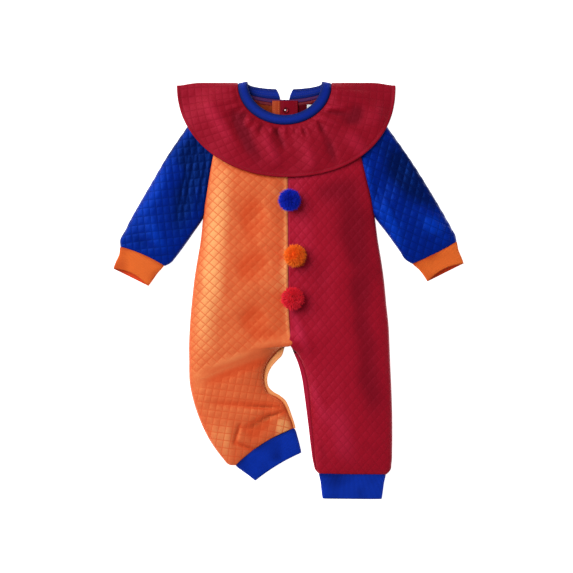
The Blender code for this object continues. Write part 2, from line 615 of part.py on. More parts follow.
def build_cloth(parts):
    """Every piece that is cut from cloth, and the surface that the ruffle and the pompoms lie on."""
    front_left = front_rows(ORANGE_ROWS, ORANGE_FRONT_YOKE, LEFT_RAGLAN_FRONT, -1)
    front_right = front_rows(RED_ROWS, RED_FRONT_YOKE, RIGHT_RAGLAN_FRONT, 1)
    back_left = back_rows(ORANGE_ROWS, ORANGE_BACK_YOKE, LEFT_RAGLAN_BACK, -1)
    back_right = back_rows(RED_ROWS, RED_BACK_YOKE, RIGHT_RAGLAN_BACK, 1)
    sleeve_left, sleeve_right = sleeve_rows(LEFT_ARM, -1), sleeve_rows(RIGHT_ARM, 1)
    cloth("front_orange", front_left, QUILT, "orange_quilt", parts)
    cloth("front_red", front_right, QUILT, "crimson_quilt", parts)
    cloth("back_orange", back_left, QUILT, "orange_quilt", parts)
    cloth("back_red", back_right, QUILT, "crimson_quilt", parts)
    cloth("sleeve_left", sleeve_left, QUILT, "blue_quilt", parts)
    cloth("sleeve_right", sleeve_right, QUILT, "blue_quilt", parts)
    for name, table in CUFFS.items():
        finish = "orange_rib" if name.startswith("sleeve") else "blue_rib"
        cloth(name, cuff_rows(table), RIB, finish, parts, closed=True)
    cloth("leg_band_orange", leg_strip_rows(ORANGE_ROWS), LEG_STRIP, "orange_quilt", parts)
    cloth("leg_band_red", leg_strip_rows(RED_ROWS), LEG_STRIP, "crimson_quilt", parts)
    tree = surface_tree(front_left, front_right, sleeve_left, sleeve_right)
    cloth("ruffle", frill_rows(tree), FRILL, "crimson_frill", parts)
    cloth("neckband", neckband_rows(), NECK_RIB, "blue_rib", parts)
    return tree


def build_back_opening(parts):
    """The plackets that close the back, their snaps, and the label beside them."""
    lift = QUILT / 2 + GAP + PLACKET / 2
    red_rows = flat_strip_rows(*RED_PLACKET, PLACKET_ROWS, lift)
    cloth("placket_red", red_rows, PLACKET, "crimson_frill", parts)
    orange_rows = flat_strip_rows(*ORANGE_PLACKET, PLACKET_ROWS, lift)
    cloth("placket_orange", orange_rows, PLACKET, "orange_quilt", parts)
    left, right, low, high = LABEL_BOX
    label_rows = flat_strip_rows(left, right, (low, (low + high) / 2, high), QUILT / 2 + GAP + LABEL / 2)
    cloth("label", label_rows, LABEL, "white_tape", parts)
    for number, (x, y) in enumerate(SNAPS, 1):
        mesh = bpy.data.meshes.new(f"snap_{number}")
        profile = bmesh.new()
        verts = [profile.verts.new((r * MM, 0, z * MM)) for r, z in reversed(SNAP_PROFILE)]
        for a, b in zip(verts, verts[1:]):
            profile.edges.new((a, b))
        profile.to_mesh(mesh)
        profile.free()
        snap = add_object(f"snap_{number}", mesh, "snap_metal", parts)
        turned = snap.modifiers.new("Turned", "SCREW")
        turned.steps = turned.render_steps = SNAP_STEPS
        turned.use_merge_vertices = True
        turned.merge_threshold = SNAP_MERGE * MM
        top = BACK_Z + frill_lift(x, y) + lift + PLACKET / 2 + GAP
        snap.location = Vector((x, y, top)) * MM


def build_pompoms(parts, tree):
    """The yarn balls down the front, each resting on the cloth."""
    for name, size in POMPOMS.items():
        ball = bmesh.new()
        bmesh.ops.create_uvsphere(ball, u_segments=POMPOM_SEGMENTS, v_segments=POMPOM_RINGS, radius=1)
        bmesh.ops.scale(ball, vec=Vector((size.radius, size.radius, size.height / 2)) * MM, verts=ball.verts)
        mesh = bpy.data.meshes.new(name)
        ball.to_mesh(mesh)
        ball.free()
        pompom = add_object(name, mesh, name.split("_")[1] + "_yarn", parts)
        seat = height_on(tree, size.x, size.y, size.radius / 2) + QUILT / 2 + GAP
        pompom.location = Vector((size.x, size.y, seat + size.height / 2)) * MM


def main():
    clear_scene()
    parts = new_collection("clown_romper")
    tree = build_cloth(parts)
    build_back_opening(parts)
    build_pompoms(parts, tree)


main()
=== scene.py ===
# %% [markdown]
# # A baby's clown romper, laid flat
#
# The garment is sewn from quilted jersey: an orange half and a crimson half, blue raglan sleeves,
# rib cuffs, a rib neckband, and a wide ruffle round the neck. Three yarn pompoms sit on the centre
# seam. It lies on its back, so this lesson builds each piece of cloth as a thin shell on the form
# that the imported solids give, and works its quilting, folds and seams into the mesh.

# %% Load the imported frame
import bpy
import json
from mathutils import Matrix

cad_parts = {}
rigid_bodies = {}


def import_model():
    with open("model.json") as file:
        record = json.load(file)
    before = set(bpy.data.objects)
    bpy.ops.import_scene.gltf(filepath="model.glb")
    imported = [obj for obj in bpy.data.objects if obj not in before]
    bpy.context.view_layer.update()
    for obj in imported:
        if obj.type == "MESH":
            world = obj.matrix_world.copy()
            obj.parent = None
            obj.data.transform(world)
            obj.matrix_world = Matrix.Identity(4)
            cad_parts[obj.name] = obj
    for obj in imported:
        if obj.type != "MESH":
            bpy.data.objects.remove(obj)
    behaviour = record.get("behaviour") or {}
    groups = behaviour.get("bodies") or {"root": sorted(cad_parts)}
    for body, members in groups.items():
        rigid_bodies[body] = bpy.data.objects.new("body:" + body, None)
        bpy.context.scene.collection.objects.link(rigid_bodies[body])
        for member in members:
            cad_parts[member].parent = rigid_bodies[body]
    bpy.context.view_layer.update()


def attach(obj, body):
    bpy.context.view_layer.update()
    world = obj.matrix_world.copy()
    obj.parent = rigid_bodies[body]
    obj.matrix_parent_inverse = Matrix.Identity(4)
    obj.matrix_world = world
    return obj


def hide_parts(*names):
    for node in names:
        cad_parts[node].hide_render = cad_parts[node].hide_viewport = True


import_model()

# %% Bring in the tools of the lesson
import json
import math
from collections import namedtuple

import bpy
import numpy as np
from mathutils import Vector

MM = 0.001  # the tables below are in millimetres, and Blender works in metres
TURN = 2 * math.pi
rng = np.random.default_rng(7)
print("Blender", bpy.app.version_string)

# %% [markdown]
# ## Measures of the cloth
#
# Heights are those of the middle of the cloth above the surface that the garment lies on. The
# quilted jersey is two fine knits with a thin wadding between them, about 2 mm thick when it is
# not pressed, and each other cloth has a thickness of its own.

# %% Thicknesses and heights
GAP = 0.3  # between pieces that lie on each other
JERSEY = 1.9
RIB = 1.6
FRILL = 1.4
PLACKET = 1.5
LABEL = 0.7
SOLID_JERSEY = 2.4  # the solids' thicker walls, which set where each layer lies
SOLID_STRIP = 2.8
BACK_Z = SOLID_JERSEY / 2  # of the back cloth
EDGE_Z = 2 * SOLID_JERSEY + SOLID_STRIP + 2 * GAP - SOLID_JERSEY / 2  # of the fronts at their edges
CURL = EDGE_Z - GAP - SOLID_JERSEY - BACK_Z  # rise of the back's side edge, up to the front's
CURL_WIDTH = 15.0
CROWN_POWER = 3.0  # how square a stuffed profile is: 2 is round
FREE_FROM = 0.94  # an edge that is freer than this rolls; others are sewn down
CENTRE_X = -0.8
SHOULDER_Y = 270.0
BACK_LIFT = 1.9  # of the back cloth where the back half of the ruffle lies under it
print("outer edge of the fronts at", EDGE_Z, "mm")

# %% [markdown]
# ## The cut
#
# A flat garment is easiest to give as rows across each panel, as a cutter's chart would: where
# the row starts, where it ends, how freely each end rolls down, and how high the cloth stands
# between them. The smooth surface is then drawn through the rows.

# %% Rows of the fronts and the backs
Row = namedtuple("Row", "rim_x rim_y in_x in_y out_x out_y sag in_free out_free puff")


def yoke_row(in_x, in_y, out_x, out_y, sag, out_free, puff):
    """A row above the armholes, where the inner end is on the centre seam."""
    return Row(in_x, in_y, in_x, in_y, out_x, out_y, sag, 0, out_free, puff)


ORANGE_ROWS = (
    Row(CENTRE_X, 180, CENTRE_X, 180, -100, 183, 0, 0, 0.90, 10.2),
    Row(CENTRE_X, 164, CENTRE_X, 164, -103.5, 166, 0, 0, 0.91, 10.8),
    Row(CENTRE_X, 146, CENTRE_X, 146, -106.5, 148, 0, 0, 0.92, 11.3),
    Row(-0.7, 122, -0.7, 122, -110.5, 122, 0, 0, 0.95, 11.5),
    Row(-0.7, 99, -0.7, 99, -113.8, 98.5, 0, 0, 1, 11.8),
    Row(-0.7, 67, -0.7, 67, -118, 63, 0, 0, 1, 12.2),
    Row(-0.7, 36, -0.7, 36, -122.3, 38, 0, 0, 1, 12.6),
    Row(-0.7, 5, -0.7, 5, -126, 14, 0, 0, 1, 12.6),
    Row(0.6, -25, 0.6, -25, -129.3, -16, 0, 0, 1, 12.2),
    Row(1.9, -52, 1.9, -52, -132, -47, 0, 0.1, 1, 11.6),
    Row(1.6, -68, 2.6, -74, -133.2, -80, 0, 0.6, 1, 11),
    Row(-5.5, -77.7, -10.7, -76.6, -133, -93, 0, 0.9, 1, 10.4),
    Row(-8.5, -87.5, -17, -82.5, -133, -102, 0, 1, 1, 10),
    Row(-15, -94.5, -23.6, -89.7, -132.9, -111, 0, 1, 1, 9.8),
    Row(-23, -104, -31, -101.7, -132.2, -124, 0, 1, 1, 9.8),
    Row(-28, -116, -34.2, -114.5, -129.5, -139, 0, 1, 1, 9.8),
    Row(-27, -129.5, -33, -128, -125, -156, 0, 1, 1, 9.6),
    Row(-20, -137, -28, -138.5, -119, -173, 0, 1, 1, 9.2),
    Row(-12, -141.5, -17, -145, -112.5, -188, 0, 1, 1, 8.8),
    Row(-3.5, -149, -8.6, -151.5, -105, -202, 0, 1, 1, 8.2),
    Row(1, -158.5, -3.8, -160, -97, -214, 1, 1, 1, 7.4),
    Row(4.5, -168.5, -0.3, -169, -88.5, -225, 2.5, 1, 1, 6.2),
    Row(8, -179, 3.8, -179, -79, -234.5, 4, 1, 1, 4.4),
    Row(9.6, -185.5, 5.5, -186, -71, -235, 5, 1, 1, 2.6),
)
RED_ROWS = (
    Row(CENTRE_X, 180, CENTRE_X, 180, 97, 180, 0, 0, 0.90, 10.2),
    Row(CENTRE_X, 164, CENTRE_X, 164, 101.5, 164, 0, 0, 0.91, 10.8),
    Row(CENTRE_X, 146, CENTRE_X, 146, 105.5, 147, 0, 0, 0.92, 11.3),
    Row(-0.7, 122, -0.7, 122, 111, 122, 0, 0, 0.95, 11.5),
    Row(-0.7, 99, -0.7, 99, 115, 100.5, 0, 0, 1, 11.8),
    Row(-0.7, 67, -0.7, 67, 120, 64, 0, 0, 1, 12.2),
    Row(-0.7, 36, -0.7, 36, 124.5, 37, 0, 0, 1, 12.6),
    Row(-0.7, 5, -0.7, 5, 128, 11.5, 0, 0, 1, 12.6),
    Row(0.6, -25, 0.6, -25, 131, -20, 0, 0, 1, 12.2),
    Row(1.9, -52, 1.9, -52, 134, -48, 0, 0.1, 1, 11.6),
    Row(1.6, -68, 2.9, -74.5, 135.3, -76, 0, 0.6, 1, 11),
    Row(7.3, -85, 12.5, -84.5, 135.9, -91, 0, 0.9, 1, 10.4),
    Row(13, -99, 20, -100, 136.5, -106, 0, 1, 1, 10),
    Row(18, -118, 25.5, -119, 137.4, -124, 0, 1, 1, 9.8),
    Row(21.3, -140, 28.8, -140, 138.2, -145, 0, 1, 1, 9.6),
    Row(24.3, -163, 30.8, -163, 138.8, -167, 0, 1, 1, 9.2),
    Row(27.3, -187, 32.8, -187, 139, -190, 0, 1, 1, 8.8),
    Row(30.2, -211, 35, -211, 138.8, -213, 0, 1, 1, 7.8),
    Row(33.4, -232, 37, -232, 138, -233, 0, 1, 1, 5.8),
    Row(36.4, -242, 39.2, -242, 136, -242.6, 0, 1, 1, 3.8),
    Row(40.5, -246.4, 42.5, -246.4, 131.5, -247.3, 0, 1, 1, 2.4),
)
ORANGE_FRONT_YOKE = (yoke_row(CENTRE_X, 205, -78, 229, -5, 0.84, 6.5),)
RED_FRONT_YOKE = (yoke_row(CENTRE_X, 205, 72, 227, 5, 0.84, 6.5),)
ORANGE_BACK_YOKE = (
    yoke_row(CENTRE_X, 236, -64.9, 240.5, -2, 0, 0),
    yoke_row(CENTRE_X, 208, -84, 215, 0, 0, 0),
)
RED_BACK_YOKE = (
    yoke_row(CENTRE_X, 236, 55.9, 240.5, 2, 0, 0),
    yoke_row(CENTRE_X, 208, 77, 214, 0, 0, 0),
)
NECK_PUFF = 3.6
NECK_OUT_FREE = 0.8
print("rows of the halves:", len(ORANGE_ROWS), len(RED_ROWS))

# %% Rows of the sleeves and the cuffs
Arm = namedtuple("Arm", "in_x in_y back_x back_y out_x out_y sag in_free puff")
Cuff = namedtuple("Cuff", "in_x in_y out_x out_y sag height lip")
LEFT_ARM = (
    Arm(-166.6, 33, -166.6, 33, -226.5, 59, 2.5, 1, 2.0),
    Arm(-159, 37, -159, 37, -227, 68, 2, 1, 3.4),
    Arm(-152, 45, -152, 45, -221, 79, 1, 1, 5.2),
    Arm(-140, 61, -140, 61, -213, 95, 0, 1, 6.4),
    Arm(-128.5, 77.5, -128.5, 77.5, -202, 114.5, 0, 1, 6.8),
    Arm(-119, 91, -119, 91, -191, 133.5, 0, 1, 7.2),
    Arm(-115.2, 97.8, -115.2, 97.8, -181, 150.5, 0, 1, 7.2),
    Arm(-111, 122, -111, 122, -166.5, 175.6, 0, 0.5, 4.65),
    Arm(-106.5, 148, -106.5, 148, -151.5, 198.5, 0, 0.5, 5.65),
    Arm(-103.5, 166, -103.5, 166, -141, 213.5, 0, 0.5, 5.7),
    Arm(-100, 183, -100, 183, -130, 228.5, 0, 0.5, 5.65),
    Arm(-89, 206, -92, 199, -116, 245, 0, 0.5, 5.1),
    Arm(-78, 229, -84, 215, -98, 260, 0, 0.5, 4.5),
)
RIGHT_ARM = (
    Arm(166.6, 36, 166.6, 36, 226.5, 66, -1.5, 1, 2.0),
    Arm(158, 41.5, 158, 41.5, 225.5, 72, -1, 1, 3.4),
    Arm(150.5, 52.7, 150.5, 52.7, 220, 83, 0, 1, 5.2),
    Arm(141, 66, 141, 66, 210, 101, 0, 1, 6.4),
    Arm(131.5, 79, 131.5, 79, 198.5, 121, 0, 1, 6.8),
    Arm(121, 92.5, 121, 92.5, 188.5, 137.5, 0, 1, 7.2),
    Arm(116.4, 99.8, 116.4, 99.8, 178, 154.5, 0, 1, 7.2),
    Arm(111.5, 122, 111.5, 122, 163.5, 177, 0, 0.5, 4.65),
    Arm(105.5, 147, 105.5, 147, 148.5, 198.5, 0, 0.5, 5.65),
    Arm(101.5, 164, 101.5, 164, 138, 213, 0, 0.5, 5.7),
    Arm(97, 180, 97, 180, 127, 228, 0, 0.5, 5.65),
    Arm(84.5, 203.5, 87, 197, 111, 245, 0, 0.5, 5.1),
    Arm(72, 227, 77, 214, 92, 260, 0, 0.5, 4.5),
)
CUFFS = {
    "sleeve_cuff_left": (
        Cuff(-167.2, 32.6, -226.5, 58.6, 2.5, 9.8, 0),
        Cuff(-176.5, 22.5, -228.5, 48, 1, 9.5, 0),
        Cuff(-183, 13.5, -232.5, 38.5, 0, 9.5, 0),
        Cuff(-188.5, 5.5, -236, 29, 0, 9.5, 6),
    ),
    "sleeve_cuff_right": (
        Cuff(167.2, 35.6, 226.5, 65.6, -1.5, 9.8, 0),
        Cuff(176, 27, 229, 54, 0, 9.5, 0),
        Cuff(182, 19.5, 232.5, 45.5, 0, 9.5, 1),
        Cuff(187, 11.5, 236, 36, 0, 10, 5.5),
    ),
    "ankle_cuff_orange_leg": (
        Cuff(8.4, -187.4, -70.3, -236, 5, 10, 0),
        Cuff(11.6, -198, -62, -242.5, 4, 9.7, 0),
        Cuff(14.6, -208.5, -53.5, -249.5, 3, 9.5, 0),
        Cuff(17.6, -218.3, -45, -256.5, 2.5, 9.4, 0),
    ),
    "ankle_cuff_red_leg": (
        Cuff(41, -246.9, 131, -247.8, 0, 10, 0),
        Cuff(43, -257, 129, -258, 0, 9.7, 0),
        Cuff(44.3, -269, 127.4, -270, 0, 9.5, 0),
        Cuff(45.6, -280.4, 126, -281, 0, 9.4, 0),
    ),
}
print("rows of the sleeves:", len(LEFT_ARM), len(RIGHT_ARM))

# %% Rings round the neck
# Each ring is an ellipse that lies folded flat, front half over back half. width is the half
# width, front and back are how far each half hangs below the fold at the shoulders, and bulge is
# how far the fold itself stands out beyond it.
Ring = namedtuple("Ring", "centre_x fold_y width front back top_z bottom_z bulge left_power right_power")
SEAM_RING = Ring(-5, 276, 63, 54, 20, 12.2, 3.1, 1.5, 1, 1)
BAND_RING = Ring(-5, 279, 50, 44, 8, 12.6, 1.5, 1, 1, 1)
FRILL_BACK_Z = 0.8
FRILL_RING = SEAM_RING._replace(bulge=2.6, bottom_z=FRILL_BACK_Z)
HEM_RING = Ring(-3, 276, 147.5, 123.6, 100, 8.5, FRILL_BACK_Z, 4.0, 0.98, 0.91)
FOLD_TURN = 0.12  # sine of the ring's angle over which it turns from front to back
LEFT_RAGLAN_BACK, LEFT_RAGLAN_FRONT = 135.6, 209.2  # where the raglan seams meet the neck seam
RIGHT_RAGLAN_BACK, RIGHT_RAGLAN_FRONT = 44.4, -29.2
print("ruffle across:", 2 * HEM_RING.width, "mm, neck seam across:", 2 * SEAM_RING.width, "mm")

# %% [markdown]
# ## Folds
#
# Cloth that has been filled out by hand keeps soft hollows and ridges. Each is a line on the plan with a
# width and a depth, deepest in its middle. A ridge has a negative depth. The colour of the cloth is painted
# with shade in the hollows and with highlight on the ridges, and a fold's tone adds painted shade where it is
# positive and painted highlight where it is negative, without changing the mesh. None is like its neighbour:
# the knee of the bent leg has the deepest ones.

# %% Folds of the body
# depth shapes the mesh and also paints shade and highlight through the Fold attribute; tone only paints shade
# (positive) and highlight (negative)
Fold = namedtuple("Fold", "start_x start_y end_x end_y width depth tone", defaults=(0,))
ORANGE_FOLDS = (
    Fold(-76, 215, -122, -110, 21, -3.1),
    Fold(-104, 190, -132, -110, 7, 1.4),
    Fold(-44, 178, -46, -76, 30, 1.5),
    Fold(-104, 178, -8, 150, 7, 3.6),
    Fold(-66, 90, -28, 108, 18, 3.2),
    Fold(-70, 22, -24, 38, 18, 3.2),
    Fold(-64, -48, -30, -30, 17, 3.0),
    Fold(-52, -61, 0, -62, 9, 2.4),
    Fold(-42, 62, -6, 72, 12, -1.6),
    Fold(-38, 0, -6, 8, 11, -1.6),
    Fold(-28, 146, -6, 118, 8, -1.4),
    Fold(-6, -84, -126, -132, 7, 0.9, 2.8),
    Fold(-10, -68, -118, -108, 6, -1.2),
    Fold(-18, -122, -106, -142, 13, 1.0),
    Fold(-2, -156, -112, -152, 6, 2.2, 1.4),
    Fold(-2, -158, -60, -156, 2.6, 2.6),
    Fold(3, -160, -36, -173, 3.0, 3.0, 2.6),
    Fold(-18, -165, -68, -190, 5, 1.2, 2.4),
    Fold(-20, -168, -58, -198, 11, 1.4, 2.0),
    Fold(-64, -176, -74, -210, 3.0, 3.0, 2.6),
    Fold(-75, -204, -40, -216, 3.0, 3.0, 2.6),
    Fold(-82, -168, -84, -236, 8, -1.2, -0.5),
    Fold(-104, -160, -94, -232, 9, -1.1),
    Fold(-10, -168, -6, -200, 9, -1.2, -3.2),
)
RED_FOLDS = (
    Fold(22, 130, 92, 140, 14, 1.6),
    Fold(70, 176, 106, -30, 22, 3.4),
    Fold(90, 26, 120, -200, 17, 3.2),
    Fold(10, 156, 40, 14, 14, -1.5),
    Fold(0, -16, 30, -92, 8, -2.6),
    Fold(8, -76, 54, -184, 9, -2.0),
    Fold(24, 60, 62, -60, 12, 0.9),
    Fold(58, -150, 92, -244, 22, -2.0),
    Fold(40, -190, 54, -240, 6, 1.2),
    Fold(133, 60, 139, -180, 4, -1.6),
    Fold(100, -206, 134, -226, 10, 1.4),
)
BACK_FOLDS = (
    Fold(-96, 120, -20, 60, 20, -0.7),
    Fold(20, 90, 100, 20, 24, -0.8),
    Fold(-110, -70, -40, -110, 14, -0.9),
    Fold(40, -130, 120, -180, 18, -0.7),
)
print("folds of the body:", len(ORANGE_FOLDS + RED_FOLDS + BACK_FOLDS))

# %% Folds of the sleeves and the ruffle
LEFT_ARM_FOLDS = (
    Fold(-110, 228, -154, 58, 21, 3.6),
    Fold(-112, 216, -150, 166, 12, 0.9, 1.8),
    Fold(-104, 200, -120, 92, 8, 2.0),
    Fold(-104, 190, -120, 96, 2.2, -0.7),
    Fold(-110, 190, -130, 92, 2.0, -0.7),
    Fold(-122, 200, -143, 92, 2.0, 0.9),
    Fold(-133, 190, -152, 84, 1.8, 0.8),
    Fold(-150, 194, -206, 78, 15, -1.6),
    Fold(-188, 100, -166, 48, 13, -2.4),
    Fold(-134, 232, -176, 158, 8, 1.4),
    Fold(-214, 74, -176, 52, 6, 1.2),
)
RIGHT_ARM_FOLDS = (
    Fold(118, 214, 198, 96, 22, 3.2),
    Fold(136, 180, 216, 84, 12, 1.2),
    Fold(104, 194, 112, 104, 7, -1.8),
    Fold(118, 128, 154, 46, 12, -3.2),
    Fold(112, 160, 142, 56, 2.6, 0.9),
    Fold(126, 150, 158, 62, 2.4, 0.8),
    Fold(172, 112, 216, 60, 13, -2.4, -0.8),
    Fold(186, 66, 218, 80, 5, 1.2),
)
FRILL_FOLDS = (
    Fold(-74, 244, -36, 164, 13, 1.2),
    Fold(52, 250, 102, 194, 13, 0.6),
    Fold(-120, 266, -66, 186, 10, -1.8),
    Fold(-77.5, 246, -49, 182, 9, 1.7),
    Fold(-34, 216, -12, 162, 8, -1.7),
    Fold(-18, 218, -3, 184, 5, 1.3),
    Fold(18, 208, 36, 156, 8, -1.7),
    Fold(49, 212, 64, 164, 7, 1.5),
    Fold(77, 222, 108, 174, 11, -1.9),
    Fold(97, 254, 84, 216, 12, 1.6),
    Fold(126, 262, 112, 214, 10, -1.2),
    Fold(40, 240, 80, 236, 3.4, 1.3),
    Fold(44, 245, 86, 246, 4.5, -1.2),
    Fold(38, 235, 80, 216, 4.5, -1.2),
    Fold(38, 230, 50, 206, 3.6, 1.3),
    Fold(35, 235, 41, 215, 2.8, -0.9),
    Fold(17, 222, 25, 204, 3.2, 1.2),
    Fold(14, 225, 20, 203, 2.6, -0.9),
    Fold(8, 221, 9, 207, 2.4, 0.9),
    Fold(-6, 221, -4, 210, 2.4, -1.0),
    Fold(-16, 220, -13, 206, 3.4, 1.2),
    Fold(-26, 224, -20, 208, 3.2, -0.9),
    Fold(-34, 228, -40, 206, 4, 1.0),
    Fold(-46, 236, -58, 218, 4.2, -1.0),
    Fold(-55, 240, -68, 226, 3.6, 1.1),
)
print("folds of the sleeves and the ruffle:", len(LEFT_ARM_FOLDS + RIGHT_ARM_FOLDS + FRILL_FOLDS))


# %% The depth of the folds
def fold_relief(plan, folds, measure="depth"):
    """Depth or tone at each point of the plan, added up over the folds. plan is (..., 2)."""
    depth = np.zeros(plan.shape[:-1])
    for fold in folds:
        start = np.array((fold.start_x, fold.start_y), float)
        run = np.array((fold.end_x, fold.end_y), float) - start
        along = (plan - start) @ run / (run @ run)
        aside = np.linalg.norm(plan - start - along[..., None] * run, axis=-1) / fold.width
        fade = np.sin(np.pi * np.clip(along, 0, 1)) ** 0.8
        depth += getattr(fold, measure) * fade * np.exp(-aside * aside)
    return depth


ridge_middle = np.array((-99.0, 52.5))
print("depth in the middle of the first ridge:", fold_relief(ridge_middle, ORANGE_FOLDS[:1]).round(1), "mm")

# %% [markdown]
# ## Surfaces through rows
#
# Blender could loft these rows with a subdivision surface, but the quilting needs an even, fine
# mesh whose points know where they are on the cloth. So numpy draws a smooth curve down the rows
# for every column at once, and one mesh is made from the whole grid.

# %% Shares, profiles and rows
def smooth_step(low, high, value):
    share = np.clip((value - low) / (high - low), 0, 1)
    return share * share * (3 - 2 * share)


def crown(share, in_free, out_free):
    """Height of a stuffed profile, 0 at a free edge and 1 on top."""
    return np.sqrt(np.clip(1 - np.abs((in_free + out_free) * share - in_free) ** CROWN_POWER, 0, 1))


def eased_shares(count, ease=0.3):
    """Shares from 0 to 1 that lie closer together near both ends, where the cloth rolls."""
    t = np.linspace(0, 1, count)
    return t - ease * np.sin(TURN * t) / TURN


def row_line(start, end, sag, shares, inset):
    """Points in plan from start to end, bowed by sag in the middle."""
    start, end = np.array(start, float), np.array(end, float)
    along = (end - start) / np.linalg.norm(end - start)
    start = start + along * inset
    bow = np.array((-along[1], along[0])) * (-sag if along[0] < 0 else sag)
    s = shares[:, None]
    return start * (1 - s) + end * s + bow * (4 * s * (1 - s))


print("a stuffed profile at a quarter of its width:", round(float(crown(0.25, 1, 1)), 2))


# %% Surfaces
def smooth_through(rows, spacing):
    """The rows, redrawn at an even spacing on smooth curves that pass through them."""
    rows = np.asarray(rows)
    steps = np.linalg.norm(np.diff(rows[..., :3], axis=0), axis=-1).mean(axis=1)
    knots = np.concatenate([[0], np.cumsum(steps)])
    at = np.linspace(0, knots[-1], int(knots[-1] / spacing) + 1)
    slopes = np.gradient(rows, knots, axis=0)
    k = np.clip(np.searchsorted(knots, at, side="right") - 1, 0, len(knots) - 2)
    step = (knots[k + 1] - knots[k])[:, None, None]
    t = (at - knots[k])[:, None, None] / step
    near = (1 + 2 * t) * (1 - t) ** 2 * rows[k] + t * (1 - t) ** 2 * step * slopes[k]
    return near + t ** 2 * (3 - 2 * t) * rows[k + 1] + t ** 2 * (t - 1) * step * slopes[k + 1]


# %% Lengths, normals and areas
def run_along(path):
    """The length of a path up to each of its points."""
    return np.concatenate([[0], np.cumsum(np.linalg.norm(np.diff(path, axis=0), axis=-1))])


def run_across(points):
    """The length of each row of a grid up to each of its points."""
    steps = np.linalg.norm(np.diff(points, axis=1), axis=-1)
    return np.concatenate([np.zeros((len(points), 1)), np.cumsum(steps, axis=1)], axis=1)


def resampled(path, run, at):
    """Points of a path at these lengths along it."""
    return np.stack([np.interp(at, run, path[:, i]) for i in range(3)], axis=-1)


def unit(vectors):
    return vectors / np.linalg.norm(vectors, axis=-1, keepdims=True)


def layers(*values):
    """Values brought to one shape and laid side by side, as the last axis."""
    return np.stack(np.broadcast_arrays(*values), axis=-1)


def grid_normals(points, upward=False):
    """Unit normals of a grid of points, turned to point up on the whole if asked."""
    across, down = np.gradient(points, axis=1), np.gradient(points, axis=0)
    normals = np.cross(across, down)
    normals /= np.linalg.norm(normals, axis=-1, keepdims=True) + 1e-12
    if upward:
        normals *= np.sign(normals[..., 2:].sum())
    return normals


# %% Points of the neck rings
def ring_points(ring, degrees, outset=0.0):
    """Points of a neck ring. 90 degrees is the centre back, 180 the left fold, 270 the front."""
    turn = np.radians(degrees)
    cosine, sine = np.cos(turn), np.sin(turn)
    power = np.where(cosine < 0, ring.left_power, ring.right_power)
    drop = np.where(sine < 0, ring.front, ring.back) + outset
    over = np.sin(np.clip(sine / FOLD_TURN, -1, 1) * np.pi / 2)
    return np.stack([
        ring.centre_x + np.sign(cosine) * (ring.width + outset) * np.abs(cosine) ** power,
        ring.fold_y - drop * np.abs(sine) ** power + (ring.bulge + outset) * np.sqrt(1 - over * over),
        ring.bottom_z + (ring.top_z - ring.bottom_z) * (1 - over) / 2,
    ], axis=-1)


print("front of the neck seam:", ring_points(SEAM_RING, 270).round(1))


# %% [markdown]
# ## Quilting
#
# The jersey is held to its wadding along two families of slanting lines, which leave small
# diamond pillows between narrow grooves. A point's place on the flat cloth is kept with it, as an
# attribute named Fabric, so that the mesh and the shader put the same groove in the same place.

# %% Quilting in the mesh
Quilt = namedtuple("Quilt", "angle_a pitch_a angle_b pitch_b")
ORANGE_QUILT = Quilt(-39, 9.6, 45, 9.2)
RED_QUILT = Quilt(-51, 9.2, 49, 9.6)
LEFT_ARM_QUILT = Quilt(96.5, 9.1, 6, 10.8)
RIGHT_ARM_QUILT = Quilt(75.5, 10.2, -24, 9.8)
FRILL_QUILT = Quilt(-45, 9.2, 45, 9.4)
GROOVE_WIDTH = 1.5
GROOVE_DEPTH = 0.55
PILLOW_RISE = 0.35


def line_vector(angle, pitch):
    """A vector whose dot product with a place on the cloth counts the quilting lines passed."""
    turn = math.radians(angle)
    return np.array((-math.sin(turn), math.cos(turn))) / pitch


def families(quilt):
    """The angle and the pitch of each family of quilting lines."""
    return (quilt.angle_a, quilt.pitch_a), (quilt.angle_b, quilt.pitch_b)


def quilt_relief(fabric, quilt, depth):
    """Height of the quilted surface over its mean: grooves on the lines, pillows between them."""
    groove = np.zeros(fabric.shape[:-1])
    pillow = np.ones(fabric.shape[:-1])
    for angle, pitch in families(quilt):
        phase = fabric[..., :2] @ line_vector(angle, pitch)
        distance = np.abs(phase - np.round(phase)) * pitch
        groove = np.maximum(groove, np.exp(-(distance / GROOVE_WIDTH) ** 2))
        pillow = pillow * np.abs(np.sin(np.pi * phase))
    return depth * (PILLOW_RISE * pillow - GROOVE_DEPTH * groove)


print("quilting on one line:", round(float(quilt_relief(np.zeros(2), ORANGE_QUILT, 1.0)), 2), "mm")


def unrolled(points, anchor):
    """Places on the flat cloth: the plan at the anchor column, and the true length along each row."""
    length = run_across(points)
    length -= length[:, anchor:anchor + 1]
    way = unit(points[:, anchor + 4, :2] - points[:, anchor - 4, :2])
    return points[:, anchor:anchor + 1, :2] + way[:, None, :] * length[..., None]


# %% Meshes
def mesh_from_grid(name, points, fabric, closed=False, folded=None, facing=None):
    """A quad mesh through a grid of points in millimetres. closed joins each row's ends, folded is the depth
    of the folds and their tone, kept as the Fold attribute that paints shade and highlight, and facing is 1
    or -1 for normals that point up or down."""
    rows, columns = points.shape[:2]
    index = np.arange(rows * columns).reshape(rows, columns)
    folded = np.zeros((rows, columns)) if folded is None else folded
    if facing:
        down, across = points[1:, 0] - points[:-1, 0], points[:-1, -1] - points[:-1, 0]
        if facing * np.cross(down, across)[:, 2].mean() > 0:
            points, fabric, folded = points[:, ::-1], fabric[:, ::-1], folded[:, ::-1]
    if closed:
        index = np.concatenate([index, index[:, :1]], axis=1)
    quads = np.stack([index[:-1, :-1], index[:-1, 1:], index[1:, 1:], index[1:, :-1]], axis=-1).reshape(-1, 4)
    return mesh_from_arrays(name, points.reshape(-1, 3), quads, fabric.reshape(-1, fabric.shape[-1]), folded)


